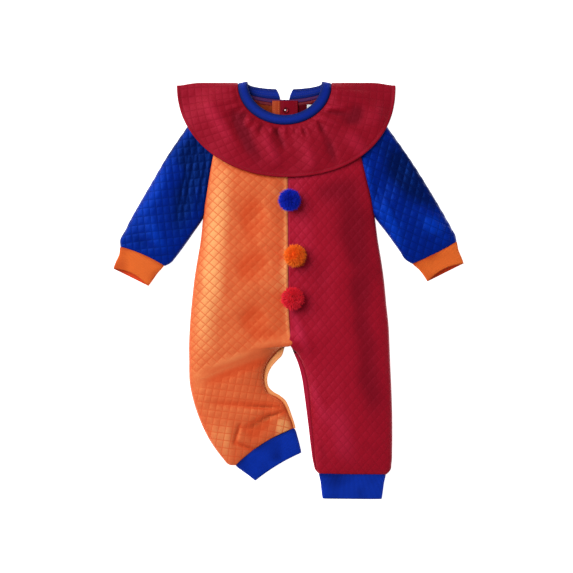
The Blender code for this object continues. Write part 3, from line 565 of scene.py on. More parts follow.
def mesh_from_arrays(name, points, faces, fabric, folded=None):
    """A mesh of faces with equal numbers of corners. fabric goes with each point, as an attribute."""
    mesh = bpy.data.meshes.new(name)
    corners = faces.shape[1]
    mesh.vertices.add(len(points))
    mesh.vertices.foreach_set("co", (points * MM).astype(np.float32).ravel())
    mesh.loops.add(faces.size)
    mesh.loops.foreach_set("vertex_index", faces.astype(np.int32).ravel())
    mesh.polygons.add(len(faces))
    mesh.polygons.foreach_set("loop_start", np.arange(0, faces.size, corners, dtype=np.int32))
    mesh.update(calc_edges=True)
    place = mesh.attributes.new("Fabric", "FLOAT_VECTOR", "POINT")
    filled = np.zeros((len(points), 3), np.float32)
    filled[:, :fabric.shape[1]] = fabric
    place.data.foreach_set("vector", filled.ravel())
    # The Fold attribute paints shade in hollows and highlight on ridges of the quilted jersey.
    if folded is not None:
        depths = mesh.attributes.new("Fold", "FLOAT", "POINT")
        depths.data.foreach_set("value", folded.astype(np.float32).ravel())
    mesh.shade_smooth()
    return mesh


# %% Pieces and sheets
def add_piece(name, mesh, material, nodes=(), thickness=0.0, inside=None):
    """Puts a mesh in the scene as a piece of the garment, with its finish and its place in the frame.

    inside is the material of the shell's other side, away from the mesh's normals."""
    mesh.materials.append(material)
    if inside:
        mesh.materials.append(inside)
    piece = bpy.data.objects.new(name, mesh)
    bpy.context.scene.collection.objects.link(piece)
    if thickness:
        wall = piece.modifiers.new("Thickness", "SOLIDIFY")
        wall.thickness = thickness * MM
        wall.offset = 0
        wall.material_offset = 1 if inside else 0
    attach(piece, "root")
    if nodes:
        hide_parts(*nodes)
    return piece


def declare_sheet(points, closed=False):
    """Joins the ends of a closed grid's rows, and keeps the result nowhere: the frame is not told the cut's
    size or area.
    """
    if closed:
        points = np.concatenate([points, points[:, :1]], axis=1)


# %% [markdown]
# ## Shader groups
#
# Four effects appear in more than one cloth: the quilting lines, the fine knit, the rib, and the
# uneven colour that washing and handling leave. Each is a node group with named sockets, built
# once and placed in each material with that cloth's own values. A small class stands for what a
# socket gives, so that chains of nodes read like sums.

# %% Values of a node tree
class Value:
    """What a socket of a node tree gives. A sum of values and numbers adds math nodes to the tree."""

    def __init__(self, tree, socket):
        self.tree, self.socket = tree, socket

    def maths(self, operation, *others):
        return add_node("Math", (self, *others), operation=operation)

    def __add__(self, other):
        return self.maths("ADD", other)

    def __sub__(self, other):
        return self.maths("SUBTRACT", other)

    def __mul__(self, other):
        return self.maths("MULTIPLY", other)

    def __truediv__(self, other):
        return self.maths("DIVIDE", other)


def fill(tree, socket, value):
    """Links a socket to a value, or sets it to a plain number, vector or colour."""
    if isinstance(value, Value):
        tree.links.new(value.socket, socket)
    elif socket.type == "RGBA":
        socket.default_value = (*value, 1)
    else:
        socket.default_value = value


def add_node(kind, inputs, output=0, tree=None, **settings):
    """A node in the tree of its inputs, which are given in order or by name; gives one output."""
    inputs = inputs if isinstance(inputs, dict) else dict(enumerate(inputs))
    tree = tree or next(value.tree for value in inputs.values() if isinstance(value, Value))
    node = tree.nodes.new("ShaderNode" + kind)
    for name, setting in settings.items():
        setattr(node, name, setting)
    for key, value in inputs.items():
        fill(tree, node.inputs[key], value)
    return Value(tree, node.outputs[output])


# %% Nodes by what they do
def blend(factor, first, second, kind="MIX"):
    """A colour between two colours."""
    return add_node("Mix", {"Factor": factor, 6: first, 7: second}, 2, data_type="RGBA", blend_type=kind)


def map_range(value, low, high, to_low=0.0, to_high=1.0):
    return add_node("MapRange", (value, low, high, to_low, to_high), interpolation_type="SMOOTHSTEP")


def noise(vector, scale, detail, roughness):
    inputs = {"Vector": vector, "Scale": scale, "Detail": detail, "Roughness": roughness}
    return add_node("TexNoise", inputs, "Fac")


def parts_of(vector):
    """The three numbers of a vector."""
    first = add_node("SeparateXYZ", (vector,))
    return [Value(vector.tree, socket) for socket in first.socket.node.outputs]


def times_grey(colour, shade):
    """A colour made lighter or darker by a number near 1."""
    return blend(1.0, colour, add_node("CombineXYZ", (shade, shade, shade)), "MULTIPLY")


def read_attribute(tree, name, output="Vector"):
    return add_node("Attribute", (), output, tree, attribute_name=name)


def object_place(tree):
    return add_node("TexCoord", (), "Object", tree)


# %% Groups
def new_group(name, **inputs):
    """A shader node group with these inputs. A name's _ stands for a space."""
    tree = bpy.data.node_groups.new(name, "ShaderNodeTree")
    labels = {key: key.replace("_", " ") for key in inputs}
    for key, value in inputs.items():
        kind = "NodeSocketVector" if isinstance(value, tuple) else "NodeSocketFloat"
        tree.interface.new_socket(labels[key], in_out="INPUT", socket_type=kind).default_value = value
    given = tree.nodes.new("NodeGroupInput")
    return tree, {key: Value(tree, given.outputs[label]) for key, label in labels.items()}


def close_group(tree, **results):
    """Gives a group its outputs."""
    for label in results:
        tree.interface.new_socket(label, in_out="OUTPUT", socket_type="NodeSocketFloat")
    made = tree.nodes.new("NodeGroupOutput")
    for label, value in results.items():
        fill(tree, made.inputs[label], value)
    return tree


def use_group(tree, group, **values):
    """A group placed in a tree, as its outputs by name."""
    node = tree.nodes.new("ShaderNodeGroup")
    node.node_tree = group
    for key, value in values.items():
        fill(tree, node.inputs[key.replace("_", " ")], value)
    return {socket.name: Value(tree, socket) for socket in node.outputs}


# %% Quilting group
def build_quilting():
    """Distance to the nearest quilting line of either family, as a groove mask and a pillow height."""
    tree, given = new_group(
        "Quilting", Fabric=(0, 0, 0), Line_A=(0, 0.1, 0), Line_B=(0.1, 0, 0), Groove_Width=0.6,
    )
    distances = []
    for line in (given["Line_A"], given["Line_B"]):
        phase = add_node("VectorMath", (given["Fabric"], line), "Value", operation="DOT_PRODUCT")
        count = add_node("VectorMath", (line,), "Value", operation="LENGTH")
        distances.append(phase.maths("PINGPONG", 0.5) / count)
    width = given["Groove_Width"]
    groove = map_range(distances[0].maths("MINIMUM", distances[1]), width * 0.35, width, 1.0, 0.0)
    pillow = map_range(distances[0], 0.0, 3.2) * map_range(distances[1], 0.0, 3.2)
    return close_group(tree, Groove=groove, Pillow=pillow)


# %% Knit group
def build_knit():
    """Rows of small V-shaped loops, as fine jersey has, with a little fluff over them."""
    tree, given = new_group("Knit", Fabric=(0, 0, 0), Loop_Width=0.9)
    across, down, _ = parts_of(given["Fabric"])
    wale = across / given["Loop_Width"]
    course = down / given["Loop_Width"] * 1.3 + wale.maths("PINGPONG", 0.5)
    loops = course.maths("PINGPONG", 0.5) * 1.2 + (wale * TURN).maths("SINE") * 0.2
    return close_group(tree, Loops=loops, Fluff=noise(given["Fabric"], 1.1, 3.0, 0.6))


# %% Rib group
def build_rib():
    """Ribs that run along the cloth's second direction, counted along its first."""
    tree, given = new_group("Rib", Fabric=(0, 0, 0), Rib_Width=1.8)
    across, down, _ = parts_of(given["Fabric"])
    wave = (across / given["Rib_Width"] * TURN).maths("COSINE")
    loops = (down * (TURN / 1.1)).maths("SINE")
    return close_group(tree, Ribs=wave + loops * 0.18, Valley=map_range(wave, -1.0, 0.2, 1.0, 0.0))


# %% Handling group
def build_handling():
    """Slow changes of shade over a panel, and small paler specks of lint."""
    tree, given = new_group("Handling", Place=(0, 0, 0), Amount=0.1)
    place = given["Place"]
    uneven = (noise(place, 14.0, 3.0, 0.55) - 0.5) * 1.2 + (noise(place, 260.0, 2.0, 0.6) - 0.5) * 0.6
    lint = map_range(noise(place, 900.0, 1.0, 0.5), 0.72, 0.78)
    return close_group(tree, Shade=uneven * given["Amount"] + 1.0, Lint=lint)


QUILTING, KNIT, RIBBING, HANDLING = build_quilting(), build_knit(), build_rib(), build_handling()
print("shader groups:", [g.name for g in bpy.data.node_groups])


# %% [markdown]
# ## Materials
#
# A cloth's colour comes from its yarn, with painted shade in the grooves and between the loops, where light
# is caught, and the quilted jersey has painted shade in its hollows and painted highlight on its ridges.
# Polyester jersey also has a soft gloss: a broad highlight and a sheen of fine fibres, both tinted by the
# dye. Numbers that are the same all over the cloth sit on the shader's own sockets. Each kind of cloth has a
# function that gives its colour, what it adds to the roughness, and its bumps; handling then wears them all
# in the same way.

# %% The base of every material
Cloth = namedtuple(
    "Cloth", "colour deep sheen sheen_tint gloss gloss_tint roughness raised", defaults=(None,),
)
LINT, LINT_SHARE = (0.8, 0.78, 0.76), 0.02


def new_material(name, **values):
    """A material whose Principled shader has these values. A name's _ stands for a space."""
    made = bpy.data.materials.new(name)
    made.use_nodes = True
    tree = made.node_tree
    shader = tree.nodes["Principled BSDF"]
    for key, value in values.items():
        fill(tree, shader.inputs[key.replace("_", " ")], value)
    return made, tree, shader


def add_bumps(tree, shader, heights):
    """Chains a bump for each (height, distance in metres, strength)."""
    below = {}
    for height, distance, strength in heights:
        inputs = {"Height": height, "Distance": distance, "Strength": strength, **below}
        below = {"Normal": add_node("Bump", inputs)}
    fill(tree, shader.inputs["Normal"], below["Normal"])


def cloth_material(name, kind, finish, *settings):
    """A material of a kind of cloth, in one finish, worn by handling."""
    made, tree, shader = new_material(
        name, Sheen_Weight=finish.sheen, Sheen_Roughness=0.5, Sheen_Tint=finish.sheen_tint,
        Specular_Tint=finish.gloss_tint,
    )
    shader.inputs["Specular IOR Level"].default_value = finish.gloss
    wear, colour, rougher, bumps = kind(finish, read_attribute(tree, "Fabric"), *settings)
    worn = use_group(tree, HANDLING, Place=object_place(tree), Amount=wear)
    worn_colour = blend(worn["Lint"] * LINT_SHARE, times_grey(colour, worn["Shade"]), LINT)
    fill(tree, shader.inputs["Base Color"], worn_colour)
    rough = (worn["Shade"] * finish.roughness).maths("MINIMUM", 1.0)
    fill(tree, shader.inputs["Roughness"], rough + rougher if rougher else rough)
    add_bumps(tree, shader, bumps)
    return made


# %% Quilted jersey
# The deep colour paints shade in hollows and grooves, SUNK of it paints the darker shade at the bottom of a
# crease, and raised paints highlight on ridges.
SUNK = 0.55  # of the deep colour, at the bottom of a crease
FOLD_FROM, FOLD_FULL, FOLD_SUNK = 0.2, 3.4, 7.0  # depths at which the tone starts, is full, and sinks


def quilted(finish, fabric, quilt, line=0.7):
    """Jersey with quilting lines, with painted shade in hollows and grooves and painted highlight on ridges.
    """
    ways = [(*line_vector(angle, pitch), 0) for angle, pitch in families(quilt)]
    lines = use_group(fabric.tree, QUILTING, Fabric=fabric, Line_A=ways[0], Line_B=ways[1], Groove_Width=0.9)
    knit = use_group(fabric.tree, KNIT, Fabric=fabric, Loop_Width=0.9)
    groove = lines["Groove"] * parts_of(fabric)[2]
    fold = read_attribute(fabric.tree, "Fold", "Fac")
    sunk = [SUNK * value for value in finish.deep]
    # Painted highlight on ridges, then painted shade in hollows and, darker still, in creases.
    colour = blend(map_range(fold, -FOLD_FROM, -FOLD_FULL), finish.colour, finish.raised or finish.colour)
    colour = blend(map_range(fold, FOLD_FROM, FOLD_FULL, 0.0, 0.95), colour, finish.deep)
    colour = blend(map_range(fold, FOLD_FULL, FOLD_SUNK, 0.0, 0.8), colour, sunk)
    # Painted shade in the quilting grooves and between the knit's loops.
    colour = blend(groove * line, colour, finish.deep)
    colour = blend(knit["Loops"] * -0.1 + 0.1, colour, finish.deep)
    bumps = (
        (lines["Pillow"] - groove, 0.0002, 0.35),
        (knit["Loops"], 0.0001, 0.5),
        (knit["Fluff"], 0.0002, 0.35),
    )
    return 0.16, colour, groove * 0.12, bumps


# %% Rib, thread, tape and pile
THREAD_TWIST = 1.2


def ribbed(finish, fabric, rib_width):
    """Rib: with painted shade between its ribs, and more painted shade where its third value says that it is
    shaded.
    """
    rib = use_group(fabric.tree, RIBBING, Fabric=fabric, Rib_Width=rib_width)
    knit = use_group(fabric.tree, KNIT, Fabric=fabric, Loop_Width=0.6)
    colour = blend(rib["Valley"] * 0.5, finish.colour, finish.deep)
    colour = blend(parts_of(fabric)[2], colour, finish.deep)
    return 0.18, colour, None, ((rib["Ribs"], 0.00015, 0.6), (knit["Fluff"], 0.0002, 0.4))


def thread(finish, fabric):
    """Sewing thread: two plies that wind round each other along the stitch."""
    along, around, _ = parts_of(fabric)
    ply = (along * (TURN / THREAD_TWIST) + around).maths("SINE")
    # Painted shade between the plies.
    colour = blend(map_range(ply, -1.0, 1.0, 1.0, 0.0) * 0.5, finish.colour, finish.deep)
    return 0.2, colour, None, ((ply, 0.0001, 0.6),)


def tape(finish, fabric):
    """Woven satin tape: fine ribs one way, and finer threads the other way."""
    across, down, _ = parts_of(fabric)
    weave = (across * (TURN / 0.35)).maths("SINE") * (down * (TURN / 0.5)).maths("SINE")
    # Painted shade where the weave is low, between the threads.
    colour = blend(map_range(weave, -1.0, 1.0, 0.35, 0.0), finish.colour, finish.deep)
    return 0.1, colour, None, ((weave, 0.00008, 0.5),)


def pile(finish, fabric):
    """Pompom pile: each fibre has a tone of its own, with painted shade that makes it deeper at its root and
    paler at its tip.
    """
    height, tone, _ = parts_of(fabric)
    colour = blend(map_range(height, 0.1, 0.8, 1.0, 0.0), finish.colour, finish.deep)
    fluff = noise(object_place(fabric.tree), 1500.0, 2.0, 0.6)
    return 0.2, times_grey(colour, tone * 0.2 + 0.9), None, ((fluff, 0.0002, 0.5),)


# %% Plated metal
def metal_material(name):
    """Nickel-plated brass with fine scratches from the press, and a painted flange round the post."""
    made, tree, shader = new_material(name, Metallic=1.0)
    place = object_place(tree)
    worn = use_group(tree, HANDLING, Place=place, Amount=0.25)
    painted = map_range(parts_of(read_attribute(tree, "Fabric"))[0], 1.05, 1.35)
    plate = blend(painted, (0.75, 0.74, 0.72), (0.13, 0.008, 0.014))
    fill(tree, shader.inputs["Base Color"], times_grey(plate, worn["Shade"]))
    scratch = noise(place, 1800.0, 2.0, 0.6)
    fill(tree, shader.inputs["Roughness"], map_range(scratch, 0.3, 0.7, 0.2, 0.42))
    add_bumps(tree, shader, ((scratch, 0.00002, 0.4),))
    return made


# %% [markdown]
# ### The finishes of this garment
#
# Each finish is one row of values: the dye's colour, the deeper colour that paints shade in its hollows, the
# sheen and the gloss with their tints, the roughness, and for quilted jersey the paler colour that paints
# highlight on its ridges. The wrong side of the jersey has less gloss because its loops are brushed, and its
# darker colours, like those of the strips inside the back, are painted shade, as these lie in shade inside
# the back.

# %% The colours
ORANGE = Cloth(
    colour=(0.625, 0.086, 0.026), deep=(0.61, 0.041, 0.008), raised=(0.8, 0.29, 0.105), roughness=0.44,
    sheen=0.1, sheen_tint=(1, 0.8, 0.3), gloss=0.75, gloss_tint=(1, 0.95, 0.35),
)
CRIMSON = Cloth(
    colour=(0.29, 0.0033, 0.0112), deep=(0.158, 0.0013, 0.0047), raised=(0.36, 0.01, 0.032), roughness=0.46,
    sheen=0.06, sheen_tint=(1, 0.2, 0.4), gloss=0.7, gloss_tint=(1, 0.1, 0.25),
)
BLUE = Cloth(
    colour=(0.0004, 0.0092, 0.192), deep=(0.0001, 0.0012, 0.036), raised=(0.0008, 0.026, 0.36),
    roughness=0.44, sheen=0.05, sheen_tint=(0.02, 0.3, 1), gloss=0.7, gloss_tint=(0.02, 0.16, 1),
)
FRILL_RED = Cloth(
    colour=(0.222, 0.0023, 0.0085), deep=(0.11, 0.0012, 0.004), raised=(0.31, 0.007, 0.022), roughness=0.5,
    sheen=0.08, sheen_tint=(1, 0.2, 0.35), gloss=0.55, gloss_tint=(1, 0.1, 0.22),
)
ORANGE_RIB = Cloth((0.72, 0.125, 0.018), (0.42, 0.034, 0.004), 0.1, (1, 0.6, 0.2), 0.4, (1, 0.7, 0.3), 0.6)
BLUE_RIB = Cloth((0.003, 0.026, 0.35), (0.001, 0.006, 0.12), 0.06, (0.1, 0.3, 1), 0.3, (0.1, 0.3, 1), 0.6)
NAVY_RIB = Cloth((0.003, 0.017, 0.27), (0.0012, 0.003, 0.05), 0.06, (0.2, 0.3, 1), 0.3, (0.2, 0.4, 1), 0.6)
VIOLET_THREAD = Cloth((0.075, 0.009, 0.1), (0.03, 0.004, 0.035), 0.0, (0.7, 0.4, 0.9), 0.2, (1, 1, 1), 0.5)
CRIMSON_THREAD = Cloth((0.2, 0.005, 0.014), (0.11, 0.002, 0.006), 0.1, (1, 0.3, 0.4), 0.3, (1, 1, 1), 0.5)
ORANGE_THREAD = Cloth((0.7, 0.16, 0.04), (0.45, 0.06, 0.015), 0.1, (1, 0.7, 0.3), 0.3, (1, 1, 1), 0.5)
NAVY_THREAD = Cloth((0.015, 0.03, 0.26), (0.006, 0.01, 0.12), 0.1, (0.3, 0.4, 1), 0.3, (1, 1, 1), 0.5)
WHITE_TAPE = Cloth((0.72, 0.72, 0.71), (0.5, 0.5, 0.49), 0.1, (1, 1, 1), 0.35, (1, 1, 1), 0.45)
BLUE_YARN = Cloth((0.01, 0.03, 0.62), (0.002, 0.01, 0.36), 0.12, (0.2, 0.3, 1), 0.1, (0.4, 0.5, 1), 0.8)
ORANGE_YARN = Cloth((1.0, 0.2, 0.016), (0.95, 0.13, 0.007), 0.12, (1, 0.6, 0.2), 0.1, (1, 1, 1), 0.8)
RED_YARN = Cloth((0.92, 0.018, 0.045), (0.72, 0.01, 0.025), 0.15, (1, 0.4, 0.5), 0.1, (1, 1, 1), 0.8)
WRONG_SIDE = {"gloss": 0.2, "sheen": 0.0, "roughness": 0.8}
# The inside colours are much darker copies of the jersey: painted shade for the back seen inside the neck.
ORANGE_INSIDE = ORANGE._replace(colour=(0.18, 0.019, 0.005), deep=(0.12, 0.009, 0.002), **WRONG_SIDE)
CRIMSON_INSIDE = CRIMSON._replace(colour=(0.07, 0.0012, 0.004), deep=(0.045, 0.0008, 0.002), **WRONG_SIDE)
RIB_INSIDE = ORANGE_RIB._replace(colour=(0.8, 0.06, 0.014), deep=(0.55, 0.03, 0.006))
# The plackets' darker colours are painted shade.
ORANGE_STRIP = ORANGE._replace(colour=(0.31, 0.032, 0.012), gloss=0.2)
CRIMSON_STRIP = CRIMSON._replace(colour=(0.17, 0.0024, 0.008), gloss=0.2)

print("roughness of the jersey:", ORANGE.roughness, CRIMSON.roughness, BLUE.roughness)

# %% The materials
materials = {"metal": metal_material("Nickel")}
for key, *making in (
    ("orange", "Orange quilted jersey", quilted, ORANGE, ORANGE_QUILT),
    ("crimson", "Crimson quilted jersey", quilted, CRIMSON, RED_QUILT, 0.3),
    ("blue_left", "Blue quilted jersey, left sleeve", quilted, BLUE, LEFT_ARM_QUILT, 0.4),
    ("blue_right", "Blue quilted jersey, right sleeve", quilted, BLUE, RIGHT_ARM_QUILT, 0.4),
    ("frill", "Crimson ruffle", quilted, FRILL_RED, FRILL_QUILT, 0.24),
    ("orange_inside", "Orange jersey, wrong side in painted shade", quilted, ORANGE_INSIDE, ORANGE_QUILT, 0.3),
    ("crimson_inside", "Crimson jersey, wrong side in painted shade", quilted, CRIMSON_INSIDE, RED_QUILT, 0.3),
    ("orange_placket", "Orange placket", quilted, ORANGE_STRIP, ORANGE_QUILT),
    ("crimson_placket", "Crimson placket", quilted, CRIMSON_STRIP, RED_QUILT),
    ("rib_inside", "Orange rib, wrong side", ribbed, RIB_INSIDE, 1.8),
    ("orange_rib", "Orange rib", ribbed, ORANGE_RIB, 1.8),
    ("blue_rib", "Blue rib", ribbed, BLUE_RIB, 1.8),
    ("navy_rib", "Navy rib", ribbed, NAVY_RIB, 1.4),
    ("violet_thread", "Violet overlock thread", thread, VIOLET_THREAD),
    ("crimson_thread", "Crimson thread", thread, CRIMSON_THREAD),
    ("orange_thread", "Orange thread", thread, ORANGE_THREAD),
    ("navy_thread", "Navy thread", thread, NAVY_THREAD),
    ("tape", "White tape", tape, WHITE_TAPE),
    ("blue_yarn", "Blue yarn", pile, BLUE_YARN),
    ("orange_yarn", "Orange yarn", pile, ORANGE_YARN),
    ("red_yarn", "Red yarn", pile, RED_YARN),
):
    materials[key] = cloth_material(*making)
print("materials:", len(materials))


# %% [markdown]
# ## The body: two fronts and two backs
#
# Each half of the romper is one front and one back, sewn at the side and round the leg. The front
# stands up like a shallow pillow, rolls down at its free edges, and sinks into a valley along the
# centre seam. The back lies flat on the surface. Both are grids through the rows above; the
# quilting then pushes each point in or out along the surface, and a shell gives it a wall.

# %% Rows and uneven heights
LATTICE = 96  # points of the lattice along each side that uneven heights are read from
LUMP_DEPTH = 0.7
RIPPLE_DEPTH, RIPPLE_SIZE = 0.16, 9.0


def stack(plan, heights, first, second):
    """One row of a panel: its plan, its heights, and two more values for each point."""
    ones = np.ones(len(plan))
    return np.column_stack([plan, heights * ones, first * ones, second * ones])


def edge_distances(points):
    """Distance along each row from its first and from its last point."""
    run = run_across(points)
    return run, run[:, -1:] - run


def between(lattice, cell, share):
    """The lattice's value at a share of the way across a cell."""
    i, j, u, v = cell[..., 0], cell[..., 1], share[..., 0], share[..., 1]
    near = lattice[i, j] * (1 - u) + lattice[i + 1, j] * u
    far = lattice[i, j + 1] * (1 - u) + lattice[i + 1, j + 1] * u
    return near * (1 - v) + far * v


def lumps(plan, size):
    """Smooth uneven heights between about -1 and 1, with lumps of this size."""
    lattice = rng.normal(scale=0.6, size=(LATTICE, LATTICE))
    at = plan / size + LATTICE / 2
    cell = np.clip(np.floor(at).astype(int), 0, LATTICE - 2)
    return between(lattice, cell, smooth_step(0, 1, at - cell))


print("lattice of uneven heights:", LATTICE, "by", LATTICE)


# %% Folds and edges
def hollow(distance, width):
    """1 on a line, falling off softly to both sides of it."""
    return np.exp(-(distance / width) ** 2)


def press_folds(points, folds, height, share, lump_size):
    """Presses folds and uneven filling into a panel, more where it stands high. Gives their depth."""
    plan = points[..., :2]
    folded = fold_relief(plan, folds) - LUMP_DEPTH * lumps(plan, lump_size)
    points[..., 2] -= share * folded * height
    points[..., 2] += RIPPLE_DEPTH * lumps(plan, RIPPLE_SIZE) * height
    return folded


def edge_dip(sewn, distance):
    """How far the cloth dips beside an edge: deeper and a little wider where it is sewn."""
    return sewn * 1.1 * hollow(distance, 2.2) + (1 - sewn) * 0.5 * hollow(distance, 2)


def edge_calm(*distances):
    """How strongly the quilting shows at these distances from seams, which press it flat."""
    return 1 - 0.7 * hollow(np.minimum.reduce(distances), 3)


def with_calm(fabric, calm):
    """Adds how strongly the quilting shows, as a third value beside the place on the cloth."""
    return np.concatenate([fabric, np.broadcast_to(calm, fabric.shape[:2])[..., None]], axis=-1)


def on_surface(points, wall):
    """Flattens what would sink below the surface that the garment lies on."""
    points[..., 2] = np.maximum(points[..., 2], wall / 2 + 0.2)
    return points


def back_lift(plan):
    """How far the back cloth is raised by the ruffle under it."""
    across = (plan[..., 0] - HEM_RING.centre_x) / HEM_RING.width
    down = (plan[..., 1] - HEM_RING.fold_y) / HEM_RING.back
    return BACK_LIFT * (1 - smooth_step(1.12, 1.5, np.hypot(across, down)))


print("back under the ruffle raised by", back_lift(np.array((0.0, 250.0))).round(1), "mm")

# %% The two halves
Half = namedtuple("Half", "name node side rows front_yoke back_yoke front_turn back_turn folds quilt depth")
HALVES = (
    Half("orange", "orange", -1, ORANGE_ROWS, ORANGE_FRONT_YOKE, ORANGE_BACK_YOKE,
         LEFT_RAGLAN_FRONT, LEFT_RAGLAN_BACK, ORANGE_FOLDS, ORANGE_QUILT, 0.2),
    Half("crimson", "red", 1, RED_ROWS, RED_FRONT_YOKE, RED_BACK_YOKE,
         RIGHT_RAGLAN_FRONT, RIGHT_RAGLAN_BACK, RED_FOLDS, RED_QUILT, 0.14),
)
SEAM_INSET = 0.05


def neck_plan(half, front, shares):
    """The panel's first row, on the ring of the neck seam, from the centre seam to the raglan seam."""
    share = (CENTRE_X - SEAM_RING.centre_x) / SEAM_RING.width
    start, end = math.degrees(math.acos(share)), half.back_turn
    if front:
        start = 270 + math.degrees(math.asin(share))
        end = half.front_turn if half.side < 0 else 360 + half.front_turn
    return ring_points(SEAM_RING, start + (end - start) * shares, SEAM_INSET)[:, :2]


def add_panel(name, half, points, cut, node, facing, folded=None):
    """A panel with the jersey's wrong side, darkened with painted shade, on its inside."""
    mesh = mesh_from_grid(name, points, cut, folded=folded, facing=facing)
    finish, inside = materials[half.name], materials[f"{half.name}_inside"]
    piece = add_piece(name, mesh, finish, (node,), JERSEY, inside)
    declare_sheet(points)


print("halves:", [half.name for half in HALVES])

# %% [markdown]
# ### The fronts
#
# On the real garment the wadding and the air under it hold the fronts up. A height for each row
# could be sculpted, but a formula for the profile keeps both halves alike and their edges true.
# Folds and valleys are then pressed in, and the knee's crease turns the lines of the quilting.

# %% The form of a front
FRONT_SHARES, FRONT_SPACING = eased_shares(92), 1.35
KNEE = np.array(((-38.0, -84.0), (-129.5, -125.0)))  # ends of the bent leg's crease
KNEE_TURN = math.radians(-32.6)  # by which the cloth's lines turn at the crease
VALLEY = ((3.4, 34), (1.2, 12), (1.1, 1.4))  # depths and widths that make the centre seam's valley


def drawn_front(half):
    """A smooth surface through the rows of a front, which stands up between its edges."""
    neck_height = EDGE_Z + NECK_PUFF * crown(FRONT_SHARES, 0, NECK_OUT_FREE)
    made = [stack(neck_plan(half, True, FRONT_SHARES), neck_height, 0, NECK_OUT_FREE)]
    for row in (*half.front_yoke, *half.rows):
        plan = row_line((row.in_x, row.in_y), (row.out_x, row.out_y), row.sag, FRONT_SHARES, SEAM_INSET)
        height = EDGE_Z + row.puff * crown(FRONT_SHARES, row.in_free, row.out_free)
        made.append(stack(plan, height, row.in_free, row.out_free))
    return smooth_through(made, FRONT_SPACING)


def bent_fabric(fabric, plan):
    """Below the knee crease the cloth is turned, so that its lines run with the lower leg."""
    start, end = KNEE
    run = unit(end - start)
    below = (plan - start) @ np.array((-run[1], run[0]))
    share = smooth_step(-1, 1, below)[..., None]
    cosine, sine = math.cos(KNEE_TURN), math.sin(KNEE_TURN)
    turned = np.array(((cosine, -sine), (sine, cosine)))
    return fabric * (1 - share) + ((fabric - start) @ turned.T + start) * share, np.abs(below)


print("front: rows", round(FRONT_SPACING, 2), "mm apart, knee turned by", round(math.degrees(KNEE_TURN), 1))


# %% Folds, seams and quilting of a front
def finish_front(surface, half):
    """Folds, valley, seams and quilting of a front, and the painted shade and highlight of its folds, seam
    and outer edge.
    """
    points, in_free, out_free = surface[..., :3].copy(), surface[..., 3], surface[..., 4]
    height = crown(FRONT_SHARES, in_free, out_free)
    plan = points[..., :2]
    folded = press_folds(points, half.folds, height, 0.7, 24)
    from_in, from_out = edge_distances(points)
    centre = 1 - smooth_step(0.0, 0.5, in_free)
    sewn = 1 - smooth_step(FREE_FROM, 1, out_free)
    points[..., 2] -= centre * sum(depth * hollow(from_in, width) for depth, width in VALLEY)
    # Painted highlight beside the seam on the orange half, and a painted shade line along it on the crimson
    # half.
    if half.side < 0:
        points[..., 2] += centre * 0.25 * hollow(from_in - 2.2, 1.8)
        seam_highlight_and_shade = -2.8 * centre * hollow(from_in, 8)
    else:
        seam_highlight_and_shade = 5 * centre * hollow(from_in, 1.8)
    points[..., 2] -= edge_dip(sewn, from_out)
    points[..., 2] -= smooth_step(0.5, 1, in_free) * 0.4 * hollow(from_in, 2)
    fabric = unrolled(points, len(FRONT_SHARES) // 2)
    calm = edge_calm(from_in, from_out)
    if half.side < 0:
        fabric, from_knee = bent_fabric(fabric, plan)
        calm = calm * (1 - smooth_step(15, 7, from_knee) * smooth_step(-50, -62, plan[..., 1]))
    relief = quilt_relief(fabric, half.quilt, half.depth) * calm
    points += grid_normals(points, upward=True) * relief[..., None]
    # The folds' tone, the seam's painted light and painted shade along the outer edge, kept with the folds'
    # depth.
    tone = fold_relief(plan, half.folds, "tone") + seam_highlight_and_shade + 3 * hollow(from_out, 2.2)
    return points, with_calm(fabric, calm), folded + tone


# %% Fronts
fronts = [finish_front(drawn_front(half), half) for half in HALVES]
front_points = [points for points, cut, folded in fronts]
for half, (points, cut, folded) in zip(HALVES, fronts):
    below = [f"back_{half.node}", f"leg_band_{half.node}"]
    add_panel(f"Front_{half.name}_half", half, points, cut, f"front_{half.node}", 1, folded)

# %% [markdown]
# ### The backs
#
# A back is cut like a front, but reaches under the leg's band to its rim. It is pressed flat by
# the weight on it, and only its side edge curls up to the seam. It shows inside the neck and
# along the legs, so it has the same quilting on a coarser grid.

# %% Backs
BACK_SHARES, BACK_SPACING = eased_shares(60), 2.1
BACK_QUILT_DEPTH = 0.8


def drawn_back(half):
    """A smooth surface through the rows of a back, which lies flat and reaches to the leg's rim."""
    made = [stack(neck_plan(half, False, BACK_SHARES), SEAM_RING.bottom_z, 0, 0)]
    for row in (*half.back_yoke, *half.rows):
        plan = row_line((row.rim_x, row.rim_y), (row.out_x, row.out_y), row.sag, BACK_SHARES, SEAM_INSET)
        made.append(stack(plan, BACK_Z + back_lift(plan), 0, row.out_free))
    return smooth_through(made, BACK_SPACING)


def finish_back(surface, quilt):
    """Curls the side edge up to meet the front, and quilts the cloth."""
    points, out_free = surface[..., :3].copy(), surface[..., 4]
    from_in, from_out = edge_distances(points)
    lift = np.clip(1 - from_out / CURL_WIDTH, 0, 1) ** 2
    points[..., 2] += smooth_step(FREE_FROM, 1, out_free) * (CURL + 0.2) * lift - 0.15
    points[..., 2] -= 0.3 * np.minimum(fold_relief(points[..., :2], BACK_FOLDS), 0)
    fabric = unrolled(points, points.shape[1] // 2)
    calm = edge_calm(from_in, from_out)
    relief = quilt_relief(fabric, quilt, BACK_QUILT_DEPTH)
    relief = (relief - relief.min()) * calm * 0.5
    points += grid_normals(points, upward=True) * relief[..., None]
    return on_surface(points, JERSEY), with_calm(fabric, calm)


for half in HALVES:
    points, cut = finish_back(drawn_back(half), half.quilt)
    add_panel(f"Back_{half.name}_half", half, points, cut, f"back_{half.node}", -1)


